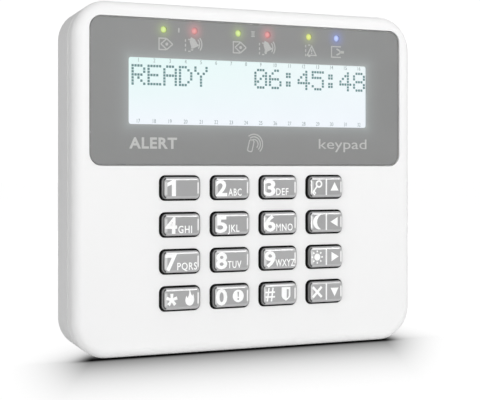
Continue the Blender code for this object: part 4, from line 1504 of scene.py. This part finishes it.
def build_reader_coil():
    """Aerial of enamelled wire, wound in three layers and taped down in four places."""
    coil = box_of("reader_coil")
    strand, turn_pitch, layer_pitch = 0.19, 0.43, 0.42
    corners = waves(range(0, 360, 60))
    winding = Shape()
    for layer in range(3):
        for turn in range(4):
            inset = strand + turn * turn_pitch
            outline = rounded(grown(coil.size, -inset), 3 - inset, coil.centre)
            depth = coil.front - strand - layer * layer_pitch
            rings = [winding.ring(offset(outline, strand * c), depth + strand * s) for c, s in corners]
            winding.skin([face for i in range(len(rings)) for face in walls(rings[i - 1], rings[i])])
    piece("coil_windings", winding, coil_copper, "coil_copper", "reader_coil", angle=60)
    tapes = Shape()
    width = 1.8
    half_x, half_z = (length / 2 - width / 2 for length in coil.size)
    for side in (-1, 1):
        for at, size in (((0, side * half_z), (6, width + 1)), ((side * half_x, 0), (width + 1, 6))):
            tapes.block(beside(coil.centre, *at), (coil.back - 0.08, coil.front + 0.2), size, 0.12)
    piece("coil_tapes", tapes, tape, "coil_copper")


def build_pin_header():
    """Strip of chamfered segments with a gold pin in each."""
    header = box_of("service_pin_header")
    pitch = header.size[0] / 5
    strip, pins = Shape(), Shape()
    for x in in_row(5, pitch):
        centre = beside(header.centre, x, 0)
        strip.prism(rounded((pitch - 0.02, 2.5), 0.5, centre, 1), header.front - 2.5, header.front)
        tip, shaft = rectangle((0.24, 0.24), centre), rectangle((0.64, 0.64), centre)
        pins.loft([(tip, header.back), (shaft, header.back + 0.5), (shaft, header.front - 1)])
    piece("header_strip", strip, black_plastic, "black_plastic", "service_pin_header")
    piece("header_pins", pins, pin_gold, "screw_steel")


def finish_hidden_nodes():
    """Materials for the CAD pieces that stay: the display's supports, the lamps and their shield."""
    finishes = {
        "lcd_frame": black_plastic,
        "lcd_light_guide": guide_plastic,
        "lcd_upper_contact_strip": strip_rubber,
        "lcd_lower_contact_strip": strip_rubber,
        "lamp_light_shield": black_plastic,
    }
    for node, (_, tint) in LAMPS.items():
        finishes[node] = moulded(node.replace("lamp_", "lens_"), LAMP_RIM[tint], 0.15, relief=0.001)
    for node, material in finishes.items():
        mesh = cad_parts[node].data
        mesh.materials.clear()
        mesh.materials.append(material)


# ---------------------------------------------------------------- stage

LIGHT_DISTANCE = 0.9  # metres, from the keypad's middle
CAMERA_PLACE = (-0.2389, -0.4621, 0.0036)  # metres
LENS = 103.1
SENSOR_WIDTH = 36.0
SHIFT_UP = -0.0645
AMBIENT = 0.4
SEEN_SURROUND = 1.05
TABLE_REACH = 6000


def soft_box(name, azimuth, elevation, size, power):
    """Rectangular light aimed at the keypad; azimuth 0 is straight ahead of it and grows to its right."""
    light = bpy.data.lights.new(name, "AREA")
    light.shape = "RECTANGLE"
    light.size, light.size_y = size
    light.energy = power
    lamp = link(name, light)
    (ahead, aside), (level, rise) = waves((azimuth, elevation))
    lamp.location = LIGHT_DISTANCE * Vector((aside * level, -ahead * level, rise))
    lamp.rotation_euler = (-lamp.location).to_track_quat("-Z", "Y").to_euler()


def build_surround():
    """White surround, brighter to the camera than the light that it throws on the keypad."""
    world = bpy.data.worlds.new("studio")
    bpy.context.scene.world = world
    world.use_nodes = True
    tree = world.node_tree
    lighting = tree.nodes["Background"]
    seen = tree.nodes.new("ShaderNodeBackground")
    for background, strength in ((lighting, AMBIENT), (seen, SEEN_SURROUND)):
        background.inputs["Color"].default_value = grey(1)
        background.inputs["Strength"].default_value = strength
    mix = tree.nodes.new("ShaderNodeMixShader")
    tree.links.new(tree.nodes.new("ShaderNodeLightPath").outputs["Is Camera Ray"], mix.inputs[0])
    tree.links.new(lighting.outputs[0], mix.inputs[1])
    tree.links.new(seen.outputs[0], mix.inputs[2])
    tree.links.new(mix.outputs[0], tree.nodes["World Output"].inputs["Surface"])


def build_stage():
    """White table, white surround and five soft boxes."""
    ground, level = Shape(), COVER.bottom - 0.05
    corners = rectangle((2 * TABLE_REACH, 2 * TABLE_REACH))[::-1]
    ground.skin([[ground.ring([(x, level)], depth)[0] for x, depth in corners]], settle=False)
    new_object("table_top", ground, table_material())
    build_surround()
    soft_box("overhead_box", 20, 80, (0.6, 0.6), 1.1)
    soft_box("top_strip", 31, 24, (0.4, 0.17), 2.2)
    soft_box("front_strip", 0, 0, (0.09, 0.4), 1.65)
    soft_box("left_fill", -48, 4, (0.8, 0.8), 3.3)
    soft_box("rear_fill", 150, 10, (0.5, 0.5), 2.2)


def build_camera():
    """Level camera, to the left of the keypad, at the height of its middle."""
    data = bpy.data.cameras.new("camera")
    data.sensor_width = SENSOR_WIDTH
    data.lens = LENS
    data.shift_y = SHIFT_UP
    data.clip_start = 0.01
    camera = link("camera", data)
    camera.location = CAMERA_PLACE
    camera.rotation_euler = (math.radians(90), 0, math.radians(-VIEW_ANGLE))
    bpy.context.scene.camera = camera


build_case_front()
build_window()
build_window_signs()
build_display()
build_keys()
build_key_mat()
build_case_back()
build_board()
build_small_parts()
build_chips()
build_crystal()
build_capacitor()
build_screws()
build_terminal_block()
build_tamper_switch()
build_buzzer()
build_reader_coil()
build_pin_header()
finish_hidden_nodes()
build_stage()
build_camera()
bpy.context.scene.view_settings.view_transform = "Standard"
bpy.context.view_layer.update()
